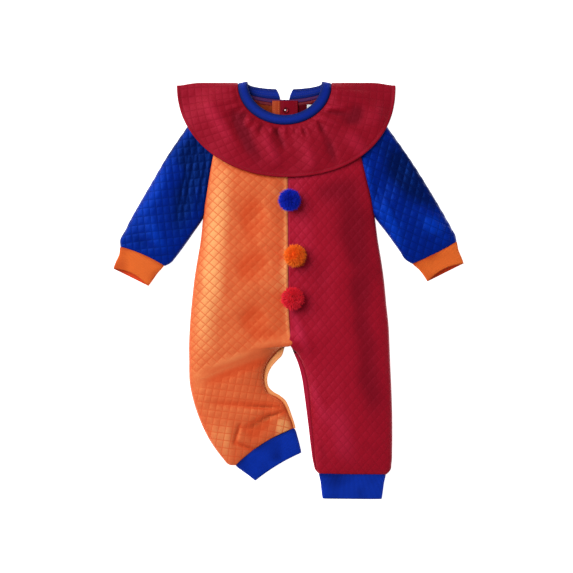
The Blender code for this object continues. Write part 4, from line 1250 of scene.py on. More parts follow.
# %% [markdown]
# ## The sleeves
#
# A raglan sleeve is one piece that is folded along the top of the arm: its two long edges meet at
# the underarm seam, and above the armpit they are sewn to the front and the back. The grid goes
# from the back's edge out to the fold, round it, and back in over the front.

# %% Rows of a sleeve
FOLD_RADIUS = 3.5
FOLD_LEVEL = (BACK_Z + EDGE_Z) / 2
ARM_NECK_RISE, ARM_NECK_BULGE, ARM_NECK_CROWN = 2.8, -2.0, 0.6
ARM_BACK_COLUMNS, ARM_FOLD_COLUMNS, ARM_FRONT_COLUMNS = 34, 7, 60
ARM_EASE = 0.2
ARM_SPACING = 1.6


def fold_distances(width, columns):
    """Distances from the fold, from the inner edge to the fold, closer together where it turns."""
    turn = np.linspace(np.pi / 2, 0, ARM_FOLD_COLUMNS)
    flat = FOLD_RADIUS + (width - FOLD_RADIUS) * (1 - eased_shares(columns, ARM_EASE))
    return np.concatenate([flat[:-1], FOLD_RADIUS * (1 - np.cos(turn))])


def fold_share(distance):
    """0 on the fold and 1 where the cloth lies flat again: a quarter of a circle."""
    near = np.minimum(distance / FOLD_RADIUS, 1)
    return np.sqrt(1 - (1 - near) ** 2)


def arm_half(row, inner, columns):
    """The plan of one half of a row, with its distances from the fold and from the inner edge."""
    inner, outer = np.array(inner, float), np.array((row.out_x, row.out_y), float)
    width = np.linalg.norm(outer - inner) - JERSEY / 2
    distance = fold_distances(width, columns)
    plan = row_line(inner, inner + unit(outer - inner) * width, row.sag, 1 - distance / width, SEAM_INSET)
    return plan, distance, width - distance, 1 - distance / width


def arm_row(row):
    """One row of a sleeve: x, y, z, the front's crown, and the freedom of its underarm edge."""
    back, back_far, from_edge, _ = arm_half(row, (row.back_x, row.back_y), ARM_BACK_COLUMNS)
    front, front_far, _, share = arm_half(row, (row.in_x, row.in_y), ARM_FRONT_COLUMNS)
    low = BACK_Z + back_lift(back)
    curled = smooth_step(FREE_FROM, 1, row.in_free) * CURL * np.clip(1 - from_edge / CURL_WIDTH, 0, 1) ** 2
    back_z = FOLD_LEVEL - (FOLD_LEVEL - low) * fold_share(back_far) + curled
    height = crown(share, row.in_free, 1)
    front_z = FOLD_LEVEL + (EDGE_Z - FOLD_LEVEL) * fold_share(front_far) + row.puff * height
    under = stack(back, back_z, 0, row.in_free)
    over = stack(front, front_z, height, row.in_free)
    return np.concatenate([under, over[-2::-1]])


def arm_neck_row(turns, side):
    """The sleeve's last row, along the neck seam over the shoulder."""
    fold_turn = 180 if side < 0 else 0
    ring = SEAM_RING._replace(top_z=EDGE_Z + ARM_NECK_RISE, bulge=ARM_NECK_BULGE)
    reach = math.degrees(math.asin(FOLD_TURN))
    halves = []
    for turn, columns in zip(turns, (ARM_BACK_COLUMNS, ARM_FRONT_COLUMNS)):
        span = abs(turn - fold_turn)
        flat = span - (span - reach) * eased_shares(columns, ARM_EASE)
        from_fold = np.concatenate([flat[:-1], np.linspace(reach, 0, ARM_FOLD_COLUMNS)])
        halves.append(fold_turn + math.copysign(1, turn - fold_turn) * from_fold)
    points = ring_points(ring, np.concatenate([halves[0], halves[1][-2::-1]]), SEAM_INSET)
    front = np.arange(len(points)) >= len(halves[0])
    return np.column_stack([points, ARM_NECK_CROWN * front, 0.5 + 0 * front])


print("fold of the sleeves:", FOLD_RADIUS, "mm round, at", round(FOLD_LEVEL, 2), "mm")

# %% Sleeves
Sleeve = namedtuple("Sleeve", "name rows turns side folds quilt depth")
SLEEVES = (
    Sleeve("left", LEFT_ARM, (LEFT_RAGLAN_BACK, LEFT_RAGLAN_FRONT), -1, LEFT_ARM_FOLDS, LEFT_ARM_QUILT, 0.5),
    Sleeve("right", RIGHT_ARM, (RIGHT_RAGLAN_BACK, RIGHT_RAGLAN_FRONT), 1,
           RIGHT_ARM_FOLDS, RIGHT_ARM_QUILT, 0.8),
)


def finish_arm(surface, sleeve):
    """Folds, seams and quilting of a sleeve, and the painted shade and highlight of its folds and edges."""
    points, height, in_free = surface[..., :3].copy(), surface[..., 3], surface[..., 4]
    plan = points[..., :2]
    folded = press_folds(points, sleeve.folds, height, 0.8, 22)
    from_back, from_front = edge_distances(points)
    sewn = 1 - smooth_step(0.5, 0.9, in_free)
    points[..., 2] -= edge_dip(sewn, from_front)
    points[..., 2] += (1 - sewn) * 0.2 * hollow(from_back, 5)
    fabric = unrolled(points, points.shape[1] * 7 // 10)
    from_cuff = np.linalg.norm(points - points[:1], axis=-1)
    calm = edge_calm(from_back, from_front) * edge_calm(from_cuff)
    calm = calm * np.where(height > 0.05, 1, 0.4)
    # Painted shade along the sleeve's rolled edges, added to the folds' painted tone.
    rim = smooth_step(0.5, 0.15, height) * (points[..., 2] > FOLD_LEVEL)
    tone = fold_relief(plan, sleeve.folds, "tone") + 2.6 * np.maximum(rim, hollow(from_front, 1.8))
    outward = grid_normals(points)
    outward *= np.sign(outward[:, ARM_BACK_COLUMNS + 20:, 2].mean())
    relief = quilt_relief(fabric, sleeve.quilt, sleeve.depth) * calm
    points += outward * relief[..., None]
    return on_surface(points, JERSEY), with_calm(fabric, calm), folded + tone


sleeve_points = []
for sleeve in SLEEVES:
    rows = [*map(arm_row, sleeve.rows), arm_neck_row(sleeve.turns, sleeve.side)]
    points, cut, folded = finish_arm(smooth_through(rows, ARM_SPACING), sleeve)
    sleeve_points.append(points)
    mesh = mesh_from_grid(f"Sleeve_{sleeve.name}", points, cut, folded=folded)
    cloth = materials[f"blue_{sleeve.name}"]
    piece = add_piece(f"Sleeve_{sleeve.name}", mesh, cloth, (f"sleeve_{sleeve.name}",), JERSEY)
    declare_sheet(points)


# %% [markdown]
# ## The ruffle
#
# A ring of crimson jersey with a slit at the back, sewn into the neck seam with the neckband. Its
# front half drapes over the fronts and the sleeves, so its heights come from a relief of what lies
# under it: the highest cloth near each place, since a cloth bridges hollows. Its back half lies
# flat under the back. Gathers stand up at the seam and die out towards the hem.

# %% A relief of the cloth under the ruffle
FRILL_RISE = 2.7
FRILL_LOOSE_Z = 6.5
CELL = 2.0
RELIEF_LOW = np.array((-200.0, 90.0))
RELIEF_SIZE = np.array((200, 120))


def relief_of(surfaces, reach, passes=36):
    """The highest point of the surfaces within reach, cell by cell, smoothed."""
    relief = np.full(RELIEF_SIZE, FRILL_LOOSE_Z - FRILL_RISE)
    for points in surfaces:
        cell = np.round((points[..., :2] - RELIEF_LOW) / CELL).astype(int).reshape(-1, 2)
        inside = np.all((cell >= 0) & (cell < RELIEF_SIZE), axis=1)
        np.maximum.at(relief, tuple(cell[inside].T), points[..., 2].reshape(-1)[inside])
    steps = int(reach / CELL)
    widened = relief.copy()
    for i in range(-steps, steps + 1):
        for j in range(-steps, steps + 1):
            if i * i + j * j <= steps * steps:
                widened = np.maximum(widened, np.roll(relief, (i, j), axis=(0, 1)))
    for _ in range(passes):
        for axis in (0, 1):
            widened = (np.roll(widened, 1, axis) + 2 * widened + np.roll(widened, -1, axis)) / 4
    return widened


def height_at(relief, plan):
    """The relief's height at places in plan."""
    at = np.clip((plan - RELIEF_LOW) / CELL, 0, RELIEF_SIZE - 1.001)
    cell = np.floor(at).astype(int)
    return between(relief, cell, at - cell)


print("relief:", RELIEF_SIZE * CELL, "mm")


# %% The ring of the ruffle
GATHERS, GATHER_HEIGHT, GATHER_FADE = 15, 1.0, 1.5
FRILL_SLIT = 3.0
FRILL_STATIONS, FRILL_COLUMNS = 560, 44
FRILL_FOLD_DROP = 4.0  # of the hem where the ring turns over at the shoulders
FRILL_SEAM_Z = 12.3
FRILL_RADIUS = 194.0  # of the middle of the ring sector that the ruffle is cut as
HEM_WIDTH = 7.0  # of the turned hem, which isn't quilted
HEM_STITCHES = 4.2  # from the hem's edge


def even_turns(start, end, count, place):
    """Angles whose points, as place gives them, are evenly spaced."""
    dense = np.linspace(start, end, 6000)
    run = run_along(place(dense))
    return np.interp(np.linspace(0, run[-1], count), run, dense)


def front_share(turn):
    """1 over the front and 0 under the back."""
    return (1 - np.sin(np.clip(np.sin(np.radians(turn)) / FOLD_TURN, -1, 1) * np.pi / 2)) / 2


def frill_middle(turns):
    return (ring_points(FRILL_RING, turns) + 2 * ring_points(HEM_RING, turns)) / 3


frill_turns = even_turns(90 + FRILL_SLIT, 450 - FRILL_SLIT, FRILL_STATIONS, frill_middle)
frill_shares = eased_shares(FRILL_COLUMNS, 0.25)
inner, outer = ring_points(FRILL_RING, frill_turns, SEAM_INSET), ring_points(HEM_RING, frill_turns)
frill = inner[:, None] * (1 - frill_shares[:, None]) + outer[:, None] * frill_shares[:, None]
over_front = front_share(frill_turns)[:, None]
frill[..., 1] -= FRILL_FOLD_DROP * hollow(over_front - 0.5, 0.42) * smooth_step(0.5, 1, frill_shares) ** 2
reach_in = np.linalg.norm(outer - inner, axis=-1)[:, None]
from_seam, from_hem = reach_in * frill_shares, reach_in * (1 - frill_shares)
print("ruffle: hem", round(float(run_along(outer)[-1])), "mm")

# %% Its drape
plan = frill[..., :2]
beneath = [*front_points, *sleeve_points]
top = height_at(relief_of(beneath, 10), np.minimum(plan, (np.inf, SHOULDER_Y))) + FRILL_RISE
turn = np.radians(frill_turns)[:, None]
gathers = 0.5 + 0.5 * np.sin(2 * GATHERS * turn + 1.3 * np.sin(5 * turn))
top += GATHER_HEIGHT * gathers * (1 - frill_shares) ** GATHER_FADE
frill_folded = 1.4 * fold_relief(plan, FRILL_FOLDS) - 0.5 * lumps(plan, 20)
top -= frill_folded
top = FRILL_SEAM_Z + (top - FRILL_SEAM_Z) * smooth_step(0, 9, from_seam)
clear = height_at(relief_of(beneath, 2, 1), plan) + (FRILL + JERSEY) / 2 + 0.2
top = np.where(from_seam > 3, np.maximum(top, clear), top)
frill[..., 2] = FRILL_BACK_Z + (top - FRILL_BACK_Z) * over_front
print("ruffle: top", round(float(top.max()), 1), "mm")

# %% Its quilting and hem
half_turn = np.radians((frill_turns - 270)[:, None] / 2)
spread = FRILL_RADIUS + from_seam - reach_in / 2
frill_cut = np.stack([spread * np.sin(half_turn), FRILL_RADIUS - spread * np.cos(half_turn)], axis=-1)
relief = quilt_relief(frill_cut, FRILL_QUILT, 0.2) * (1 - smooth_step(HEM_WIDTH, 4, from_hem))
relief = relief * smooth_step(0, 4, from_seam) + 0.25 * smooth_step(5, 3.5, from_hem)
relief = (relief - 0.5 * hollow(from_hem - HEM_STITCHES, 0.8)) * (0.25 + 0.75 * over_front)
frill_normals = grid_normals(frill)
frill_normals *= np.sign(frill_normals[FRILL_STATIONS // 2, :, 2].mean())
frill = on_surface(frill + frill_normals * relief[..., None], FRILL)
frill_cut = with_calm(frill_cut, smooth_step(4, HEM_WIDTH, from_hem))
# Its folds' depth, kept as the Fold attribute, paints shade in hollows and highlight on ridges.
mesh = mesh_from_grid("Ruffle", frill, frill_cut, folded=1.3 * frill_folded)
ruffle = add_piece("Ruffle", mesh, materials["frill"], ("ruffle",), FRILL)


# %% [markdown]
# ## Rib pieces
#
# The neckband is a strip of rib folded double, so it is a soft flat oval in section. The cuffs are
# tubes of rib that lie flattened, with open mouths. Their ribs are in the mesh: a wave across the
# surface, four points to a rib.

# %% Tubes
def full_turn(count):
    return np.linspace(0, TURN, count, endpoint=False)


def rounded(angle, power):
    """Cosine and sine of a flattened oval."""
    c, s = np.cos(angle), np.sin(angle)
    return np.sign(c) * np.abs(c) ** power, np.sign(s) * np.abs(s) ** power


def sweep(centre, half_across, half_height, count, power):
    """A closed tube of oval section. half_across is a vector and half_height a number a station."""
    normal = unit(np.cross(np.gradient(centre, axis=0), half_across))
    normal *= np.sign(normal[len(normal) // 2, 2])
    c, s = rounded(full_turn(count)[:, None], power)
    high = np.reshape(half_height, (-1, 1, 1))
    return centre[:, None] + half_across[:, None] * c + normal[:, None] * (high * s)


# %% [markdown]
# ### The neckband
#
# It follows the neck seam and stands up from it, open at the centre back. A curve with a bevel
# would twist at the shoulders, where the ring turns over, so each station's oval is set across
# the strip between two rings: the seam and the band's upper edge.

# %% Neckband
BAND_HALF_HEIGHT = 2.3
BAND_STATIONS, BAND_POINTS = 640, 20
BAND_RIB_PITCH, BAND_RIB_HEIGHT = 1.4, 0.1
BAND_END = 1.6  # over which its cut ends close
BACK_SLIT_SEAM, BACK_SLIT_BAND = 4.4, 12.0


def slit_turns(share, slit):
    """Angles round the ring, with this many degrees kept open on each side of the back."""
    return 90 + slit + (360 - 2 * slit) * share


def band_edges(turns):
    share = (turns - 90) / 360
    seam = ring_points(SEAM_RING, slit_turns(share, BACK_SLIT_SEAM), -0.4)
    return seam, ring_points(BAND_RING, slit_turns(share, BACK_SLIT_BAND))


band_turns = even_turns(90, 450, BAND_STATIONS, lambda turns: sum(band_edges(turns)) / 2)
seam, edge = band_edges(band_turns)
centre = (seam + edge) / 2
centre[:, 2] += 0.9 * front_share(band_turns) - 0.2
run = run_along(centre)
ribs = BAND_RIB_HEIGHT * np.cos(TURN * run / BAND_RIB_PITCH)
band = sweep(centre, (edge - seam) * 0.52, BAND_HALF_HEIGHT + ribs, BAND_POINTS, 0.9)
ends = np.minimum(np.minimum(run, run[-1] - run) / BAND_END, 1)
pinch = np.sqrt(np.clip(1 - (1 - ends) ** 2, 0.02, 1))
band = on_surface(centre[:, None] + (band - centre[:, None]) * pinch[:, None, None], 0)
round_band = full_turn(BAND_POINTS)
band_shade = 0.95 * np.abs(np.cos(round_band)) ** 1.3
mesh = mesh_from_grid("Neckband", band, layers(run[:, None], round_band * 3.2, band_shade), closed=True)
neckband = add_piece("Neckband", mesh, materials["navy_rib"], ("neckband",))

# %% [markdown]
# ### The cuffs
#
# A cuff is a tube of rib that pulls the end of a sleeve or a leg together. Each is drawn through
# a few flattened rings. The first is tucked inside the cloth, as the seam allowance is, and the
# surface is a little uneven, because a rib knit keeps some of the shape it was stretched to.

# %% Rings and ribs of the cuffs
RIB_PITCH, RIB_HEIGHT, RIB_POINTS = 1.8, 0.16, 4
RING_FLATNESS = 0.55
CUFF_TUCK = 2.6
CUFF_SPACING = 1.9


def cuff_ring(row, wall):
    """A closed ring, flattened, with its length up to each point."""
    inner, outer = np.array((row.in_x, row.in_y), float), np.array((row.out_x, row.out_y), float)
    along = unit(outer - inner)
    normal = np.array((-along[1], along[0]))
    normal *= math.copysign(1, normal[1])
    reach, rise = rounded(full_turn(1600), RING_FLATNESS)
    bow = (row.sag + row.lip * np.maximum(rise, 0)) * (1 - reach ** 2)
    half = np.linalg.norm(outer - inner) / 2 - wall / 2
    plan = (inner + outer) / 2 + along * (half * reach)[:, None] + normal * bow[:, None]
    ring = np.column_stack([plan, row.height / 2 + (row.height - wall) / 2 * rise])
    ring = np.concatenate([ring, ring[:1]])
    return ring, run_along(ring)


def tucked_in(rings):
    """A ring before the first, a little flatter, where the cuff is sewn inside the cloth."""
    tucked = rings[0] + unit((rings[0] - rings[1]).mean(axis=0)) * CUFF_TUCK
    middle = tucked[:, 2].mean()
    tucked[:, 2] = middle + 0.75 * (tucked[:, 2] - middle)
    return tucked


def cuff_surface(rows):
    """A grid down and round the cuff, and how many points it has round."""
    rings = [cuff_ring(row, RIB) for row in rows]
    count = round(rings[0][1][-1] / RIB_PITCH) * RIB_POINTS
    rings = [resampled(ring, run, np.linspace(0, run[-1], count, endpoint=False)) for ring, run in rings]
    return smooth_through([tucked_in(rings), *rings], CUFF_SPACING), count


def outward_of(points):
    """Unit normals of a closed tube that point out of it, and the sign that turned them."""
    wrapped = np.concatenate([points[:, -1:], points, points[:, :1]], axis=1)
    normals = unit(np.cross(np.gradient(wrapped, axis=1)[:, 1:-1], np.gradient(points, axis=0)))
    sign = np.sign((normals * (points - points.mean(axis=1, keepdims=True))).sum())
    return normals * sign, sign


print("ribs round the first cuff:", cuff_surface(CUFFS["sleeve_cuff_left"])[1] // RIB_POINTS)

# %% Cuffs
for name, table in CUFFS.items():
    points, count = cuff_surface(table)
    middle = points.mean(axis=1, keepdims=True)
    outward, sign = outward_of(points)
    from_seam = np.linalg.norm(points - points[:1], axis=-1)
    from_mouth = np.linalg.norm(points - points[-1:], axis=-1)
    ribs = RIB_HEIGHT * np.cos(TURN * np.arange(count) / RIB_POINTS) * (1 - 0.8 * hollow(from_seam, 2))
    dips = 0.5 * hollow(from_seam, 1.6) + 0.35 * hollow(from_mouth, 2.5)
    height = ribs - dips + 0.6 * lumps(points[..., :2] + points[..., 2:], 18)
    points = on_surface(points + outward * height[..., None], RIB)
    down, up = from_seam.mean(axis=1)[:, None], from_mouth.mean(axis=1)[:, None]
    aside = 2 * (points[..., 0] - middle[..., 0]) / np.ptp(points[..., 0])
    shade = 0.7 * hollow(down - CUFF_TUCK, 3) + 0.35 * hollow(up, 1.2) + 0.5 * lumps(points[..., :2], 16)
    shade = np.clip(shade + 0.4 * smooth_step(0.1, -0.9, aside), 0, 1)
    cut = layers(np.arange(count) * RIB_PITCH / RIB_POINTS, down, shade)
    arm = name.startswith("sleeve")
    rib = "orange_rib" if arm else "blue_rib"
    title = name.capitalize()
    mesh = mesh_from_grid(title, points, cut, closed=True)
    if sign < 0:
        mesh.flip_normals()
    inside = materials["rib_inside"] if arm else None
    piece = add_piece(title, mesh, materials[rib], (name,), RIB, inside)
    declare_sheet(points, closed=True)


# %% [markdown]
# ## Leg bands and the back opening
#
# The inner leg seams of such a garment open, so each back leg carries a band folded double, which
# shows inside the leg's edge. No snaps show on the bands, so they have none. The back opens down
# its centre: a crimson placket lies beside an orange one, with snaps, and a woven label is sewn to
# the neck beside them.

# %% Leg bands
STRIP_UNDERLAP = 4.0
STRIP_FROM = 0.9
STRIP_RISE = 1.1  # of the band's middle, which tilts up to its rim
STRIP_SPACING = 1.2
STRIP_HALF_HEIGHT = 1.35
STRIP_POINTS = 24
STRIP_STITCHES = 2.6  # from the rim


def leg_band(rows):
    """The band's two edges, row by row, drawn smooth."""
    made = []
    for row in rows:
        if row.in_free >= STRIP_FROM:
            rim, outer = np.array((row.rim_x, row.rim_y), float), np.array((row.out_x, row.out_y), float)
            inner = np.array((row.in_x, row.in_y)) + unit(outer - rim) * STRIP_UNDERLAP
            made.append([[*rim, 0], [*inner, 0]])
    return smooth_through(made, STRIP_SPACING)


for half in HALVES:
    edges = leg_band(half.rows)
    centre = edges.mean(axis=1)
    centre[:, 2] = SOLID_JERSEY + GAP + SOLID_STRIP / 2 + STRIP_RISE
    half_across = (edges[:, 1] - edges[:, 0]) / 2
    half_across[:, 2] = -STRIP_RISE
    band = sweep(centre, half_across, STRIP_HALF_HEIGHT, STRIP_POINTS, 0.7)
    width = np.linalg.norm(edges[:, 1] - edges[:, 0], axis=-1)
    from_rim = np.linalg.norm(band[..., :2] - edges[:, :1, :2], axis=-1)
    band[..., 2] -= 0.5 * hollow(from_rim - STRIP_STITCHES, 0.7) * (band[..., 2] > centre[0, 2])
    run = run_along(centre)
    cut = layers(run[:, None], np.linspace(0, 2 * width.mean(), STRIP_POINTS))
    shown = width[:, None] - STRIP_UNDERLAP - from_rim
    # Painted shade where the band goes under the leg's edge, and painted highlight where it shows wide.
    folded = 3.6 * smooth_step(1.4, 0.4, shown) - 3.2 * smooth_step(1.0, 2.2, shown)
    name = f"Leg_band_{half.name}"
    mesh = mesh_from_grid(name, band, cut, closed=True, folded=folded)
    piece = add_piece(name, mesh, materials[half.name], (f"leg_band_{half.node}",))

# %% [markdown]
# ### The back opening and the label
#
# A placket is a strip of the same jersey that stiffens an opening's edge, stitched down both
# sides. Two lie side by side on the inside of the back, on flat grids, with a dip along each row
# of stitches. The label is plain satin tape, which buckles a little because it is stiffer.

# %% Plackets and label
PLACKET_LOW, PLACKET_HIGH = 80.0, 255.2
PLACKET_SEAM = 2.4  # of its stitches, from each long edge
RED_PLACKET = (-10.8, 12.8)
ORANGE_PLACKET = (-21.6, -11.1)
LABEL_BOX = (25.0, 39.0, 232.0, 250.0)
ON_BACK = SOLID_JERSEY / 2 + GAP  # from the middle of the back cloth to what lies on it


def flat_strip(left, right, low, high, wall, spacing):
    """A strip of a thickness that lies on the inside of the back."""
    xs = np.linspace(left, right, int((right - left) / spacing) + 1)
    ys = np.linspace(high, low, int((high - low) / spacing) + 1)
    plan = np.stack(np.meshgrid(xs, ys), axis=-1)
    at_left = np.stack([np.full(plan.shape[:2], left), plan[..., 1]], axis=-1)
    level = BACK_Z + back_lift(at_left) + ON_BACK + wall / 2
    return np.concatenate([plan, level[..., None]], axis=-1), plan


for name, (left, right), key, slot, node in (
    ("Placket_crimson", RED_PLACKET, "crimson_placket", "crimson_frill", "placket_red"),
    ("Placket_orange", ORANGE_PLACKET, "orange_placket", "orange_quilt", "placket_orange"),
):
    points, cut = flat_strip(left, right, PLACKET_LOW, PLACKET_HIGH, PLACKET, 1.2)
    from_edge = np.minimum(points[..., 0] - left, right - points[..., 0])
    dips = 0.35 * hollow(from_edge - PLACKET_SEAM, 0.7) + 0.3 * hollow(from_edge, 0.8)
    points[..., 2] += 0.12 * lumps(cut, 7) - dips
    piece = add_piece(name, mesh_from_grid(name, points, cut), materials[key], (node,), PLACKET)
    declare_sheet(points)

points, cut = flat_strip(*LABEL_BOX, LABEL, 0.8)
points[..., 2] += 0.25 * np.sin((cut[..., 1] - LABEL_BOX[2]) / 5) ** 2
mesh = mesh_from_grid("Label", points, cut)
label = add_piece("Label", mesh, materials["tape"], ("label",), LABEL)
declare_sheet(points)

# %% [markdown]
# ## Snaps
#
# Each snap is pressed from thin brass and plated: a ring that grips the cloth, and a post in the
# middle. It is a profile turned round an axis. The garment's snaps show only from inside the back.

# %% Snaps
SNAPS = ((-3.9, 242.2), (-3.9, 178.0), (-3.9, 114.0))
SNAP_STEPS = 48
SOLID_PLACKET = 1.6
SNAP_PROFILE = np.array((
    (0.01, 0), (3.6, 0), (3.8, 0.15), (3.8, 0.9), (3.65, 1.1), (3.3, 1.12), (2.5, 0.85), (2.2, 0.75),
    (1.5, 0.75), (1.25, 0.85), (1.15, 1.3), (1.05, 1.7), (0.85, 1.88), (0.4, 1.9), (0.01, 1.9),
))
radius, rise = SNAP_PROFILE[:, :1], SNAP_PROFILE[:, 1:]
turns = full_turn(SNAP_STEPS)
for number, (x, y) in enumerate(SNAPS, 1):
    base = BACK_Z + float(back_lift(np.array((x, y)))) + ON_BACK + SOLID_PLACKET + GAP
    snap = layers(x + radius * np.cos(turns), y + radius * np.sin(turns), base + rise)
    mesh = mesh_from_grid(f"Snap_{number}", snap, layers(radius + 0 * turns, rise), closed=True)
    add_piece(f"Snap_{number}", mesh, materials["metal"], (f"snap_{number}",))
print("snaps:", len(SNAPS))


# %% [markdown]
# ## Pompoms
#
# A pompom is yarn wound on a card, tied in the middle and cut, so its ends stand out in a ball. Here each is
# a core, dark with painted shade, with thousands of thin tapered fibres, as one joined mesh. Each fibre has a
# tone of its own, kept in the Fabric attribute beside its height from root to tip.

# %% Many short tubes in one mesh
def tube_faces(count, rings, sides):
    """Quads of many short tubes, whose points come tube by tube and ring by ring."""
    wall = np.array([(k, (k + 1) % sides, (k + 1) % sides + sides, k + sides) for k in range(sides)])
    ring = np.arange(rings - 1)[:, None, None] * sides
    tube = np.arange(count)[:, None, None, None] * rings * sides
    return (tube + ring + wall).reshape(-1, 4)


# %% Fibres and cores of the pompoms
Pompom = namedtuple("Pompom", "x y radius height fibres")
POMPOMS = {
    "blue": Pompom(1.5, 120, 14.8, 25, 3400),
    "orange": Pompom(8.9, 46, 15, 26, 3400),
    "red": Pompom(5.5, -11, 15.4, 26, 3400),
}
FibreRing = namedtuple("FibreRing", "share thick height")  # share of the radius, half thickness, root to tip
FIBRE_RINGS = (FibreRing(0.55, 0.36, 0.0), FibreRing(0.84, 0.28, 0.6), FibreRing(1.0, 0.06, 1.0))
CORE_SHARE = 0.72
POMPOM_RISE = 5.0  # of the lowest seat over the edge of the fronts


def fibres(size, centre, half):
    """Points and fabric values of all the fibres of a pompom."""
    ways = unit(rng.normal(size=(size.fibres, 3)))
    bends = rng.normal(scale=0.11, size=ways.shape)
    lengths = rng.uniform(0.92, 1.1, size=(size.fibres, 1))
    lengths = lengths * (1 - 0.05 * np.abs(rng.normal(size=(size.fibres, 1))))
    side = unit(np.cross(ways, rng.normal(size=ways.shape)))
    other = np.cross(ways, side)
    rings = []
    for share, thick, _ in FIBRE_RINGS:
        middle = centre + (ways * share * lengths + bends * max(0, share - 0.55) * 1.1) * half
        ring = [middle + (side * math.cos(a) + other * math.sin(a)) * thick for a in (0, 2.1, 4.2)]
        rings.append(np.stack(ring, axis=1))
    points = np.stack(rings, axis=1)
    tone = np.broadcast_to(rng.uniform(size=(size.fibres, 1, 1)), points.shape[:3])
    height = np.array([ring.height for ring in FIBRE_RINGS])[:, None]
    return points.reshape(-1, 3), layers(height, tone).reshape(-1, 2)


def ball_points(columns, rows):
    """A unit ball as a grid that stops just short of its poles."""
    around = full_turn(columns)
    level = np.linspace(-0.99, 0.99, rows)[:, None] * np.pi / 2
    return layers(np.cos(level) * np.cos(around), np.cos(level) * np.sin(around), np.sin(level))


# %% Pompoms
for colour, size in POMPOMS.items():
    name, yarn = f"Pompom_{colour}", f"{colour}_yarn"
    ground = relief_of(front_points, size.radius / 2)
    seat = max(float(height_at(ground, np.array((size.x, size.y)))) + JERSEY / 2, EDGE_Z + POMPOM_RISE)
    centre = np.array((size.x, size.y, seat + size.height / 2))
    half_size = np.array((size.radius, size.radius, size.height / 2))
    points, fabric = fibres(size, centre, half_size)
    mesh = mesh_from_arrays(name, points, tube_faces(size.fibres, len(FIBRE_RINGS), 3), fabric)
    add_piece(name, mesh, materials[yarn], (name.lower(),))
    ball = ball_points(32, 17)
    # The core takes the yarn's root colour: painted shade inside the ball.
    mesh = mesh_from_grid(f"{name}_core", centre + ball * half_size * CORE_SHARE, 0 * ball, closed=True)
    add_piece(f"{name}_core", mesh, materials[yarn])
    print(colour, "pompom on the cloth at", round(seat, 1), "mm")


# %% [markdown]
# ## Stitches
#
# A topstitch is a short length of thread that comes up through the cloth and goes down again, so
# each is a small arched capsule sunk at both ends. An overlock stitch wraps the raw edge: slanted
# threads laid close together.

# %% Helpers for stitches
STITCH_RINGS = ((0, 0.35, -0.5), (0.14, 1, 0.15), (0.5, 1, 0.35), (0.86, 1, 0.15), (1, 0.35, -0.5))
STITCH_SIDES = 6


def stitch_arrays(starts, ends, ups, radius):
    """Points, faces and thread places of many stitches. Each ring is (share, thickness, rise)."""
    ways = ends - starts
    lengths = np.linalg.norm(ways, axis=-1, keepdims=True)
    side = unit(np.cross(ways / lengths, ups))[:, None]
    angles = full_turn(STITCH_SIDES)
    across, over = np.cos(angles)[:, None], np.sin(angles)[:, None]
    points, places = [], []
    for share, thick, rise in STITCH_RINGS:
        middle = starts + ways * share + ups * (rise * radius)
        points.append(middle[:, None] + (side * across + ups[:, None] * over) * (radius * thick))
        places.append(layers(share * lengths, angles))
    points, places = np.stack(points, axis=1), np.stack(places, axis=1)
    faces = tube_faces(len(starts), len(STITCH_RINGS), STITCH_SIDES)
    return points.reshape(-1, 3), faces, places.reshape(-1, 2)


def upright(path):
    """A direction straight up for each point of a path."""
    return np.tile((0.0, 0.0, 1.0), (len(path), 1))


def stitch_along(path, ups, length, gap):
    """Starts, ends and up directions of stitches in a row along a path."""
    run = run_along(path)
    first = np.arange(0.5, run[-1] - length, length + gap)
    middle_up = resampled(ups, run, first + length / 2)
    return resampled(path, run, first), resampled(path, run, first + length), middle_up


def add_stitches(name, stitches, radius, key):
    """One joined mesh from several rows of stitches."""
    starts, ends, ups = (np.concatenate(part) for part in zip(*stitches))
    mesh = mesh_from_arrays(name, *stitch_arrays(starts, ends, ups, radius))
    print(name, len(starts), "stitches")
    add_piece(name, mesh, materials[key])


# %% Stitches of the ruffle and the plackets
mean_reach = reach_in.mean()
at_column = np.interp(mean_reach - HEM_STITCHES, mean_reach * frill_shares, np.arange(FRILL_COLUMNS))
column = int(at_column)
hem_ups = frill_normals[:, column]
hem_path = frill[:, column] + (frill[:, column + 1] - frill[:, column]) * (at_column - column)
hem_path = hem_path + hem_ups * (FRILL / 2 - 0.1)
hem_stitches = stitch_along(hem_path, hem_ups, 2.5, 0.7)
add_stitches("Ruffle_hem_stitches", [hem_stitches], 0.28, "crimson_thread")


def placket_line(x):
    """Stitches down a placket, sunk a little into its cloth."""
    top = BACK_Z + ON_BACK + PLACKET - 0.25
    path = np.linspace((x, PLACKET_HIGH - 1, top), (x, PLACKET_LOW + 2, top), 200)
    path[:, 2] += back_lift(path[:, :2])
    return stitch_along(path, upright(path), 2.4, 0.7)


for colour, (left, right), slot in (
    ("crimson", RED_PLACKET, "crimson_frill"), ("orange", ORANGE_PLACKET, "orange_quilt"),
):
    lines = [placket_line(x) for x in (left + PLACKET_SEAM, right - PLACKET_SEAM)]
    add_stitches(f"Placket_{colour}_stitches", lines, 0.26, f"{colour}_thread")

# %% [markdown]
# ### Seams inside the neck
#
# The raw edge of the neck seam is wrapped with two overlock threads: a violet one in zigzags over
# the edge, and a crimson one below it. The neckband's fold is held by three rows of coverstitch.

# %% The neck seam inside the back
EDGING_TURNS = np.linspace(-62, 62, 190)
EDGING_DEPTH = 8.5


def neck_edging(depth, lift):
    """Points on the back this far below its neck seam."""
    places = ring_points(SEAM_RING, 90 + EDGING_TURNS, depth)
    places[:, 2] = BACK_Z + BACK_LIFT + JERSEY / 2 + lift
    return places


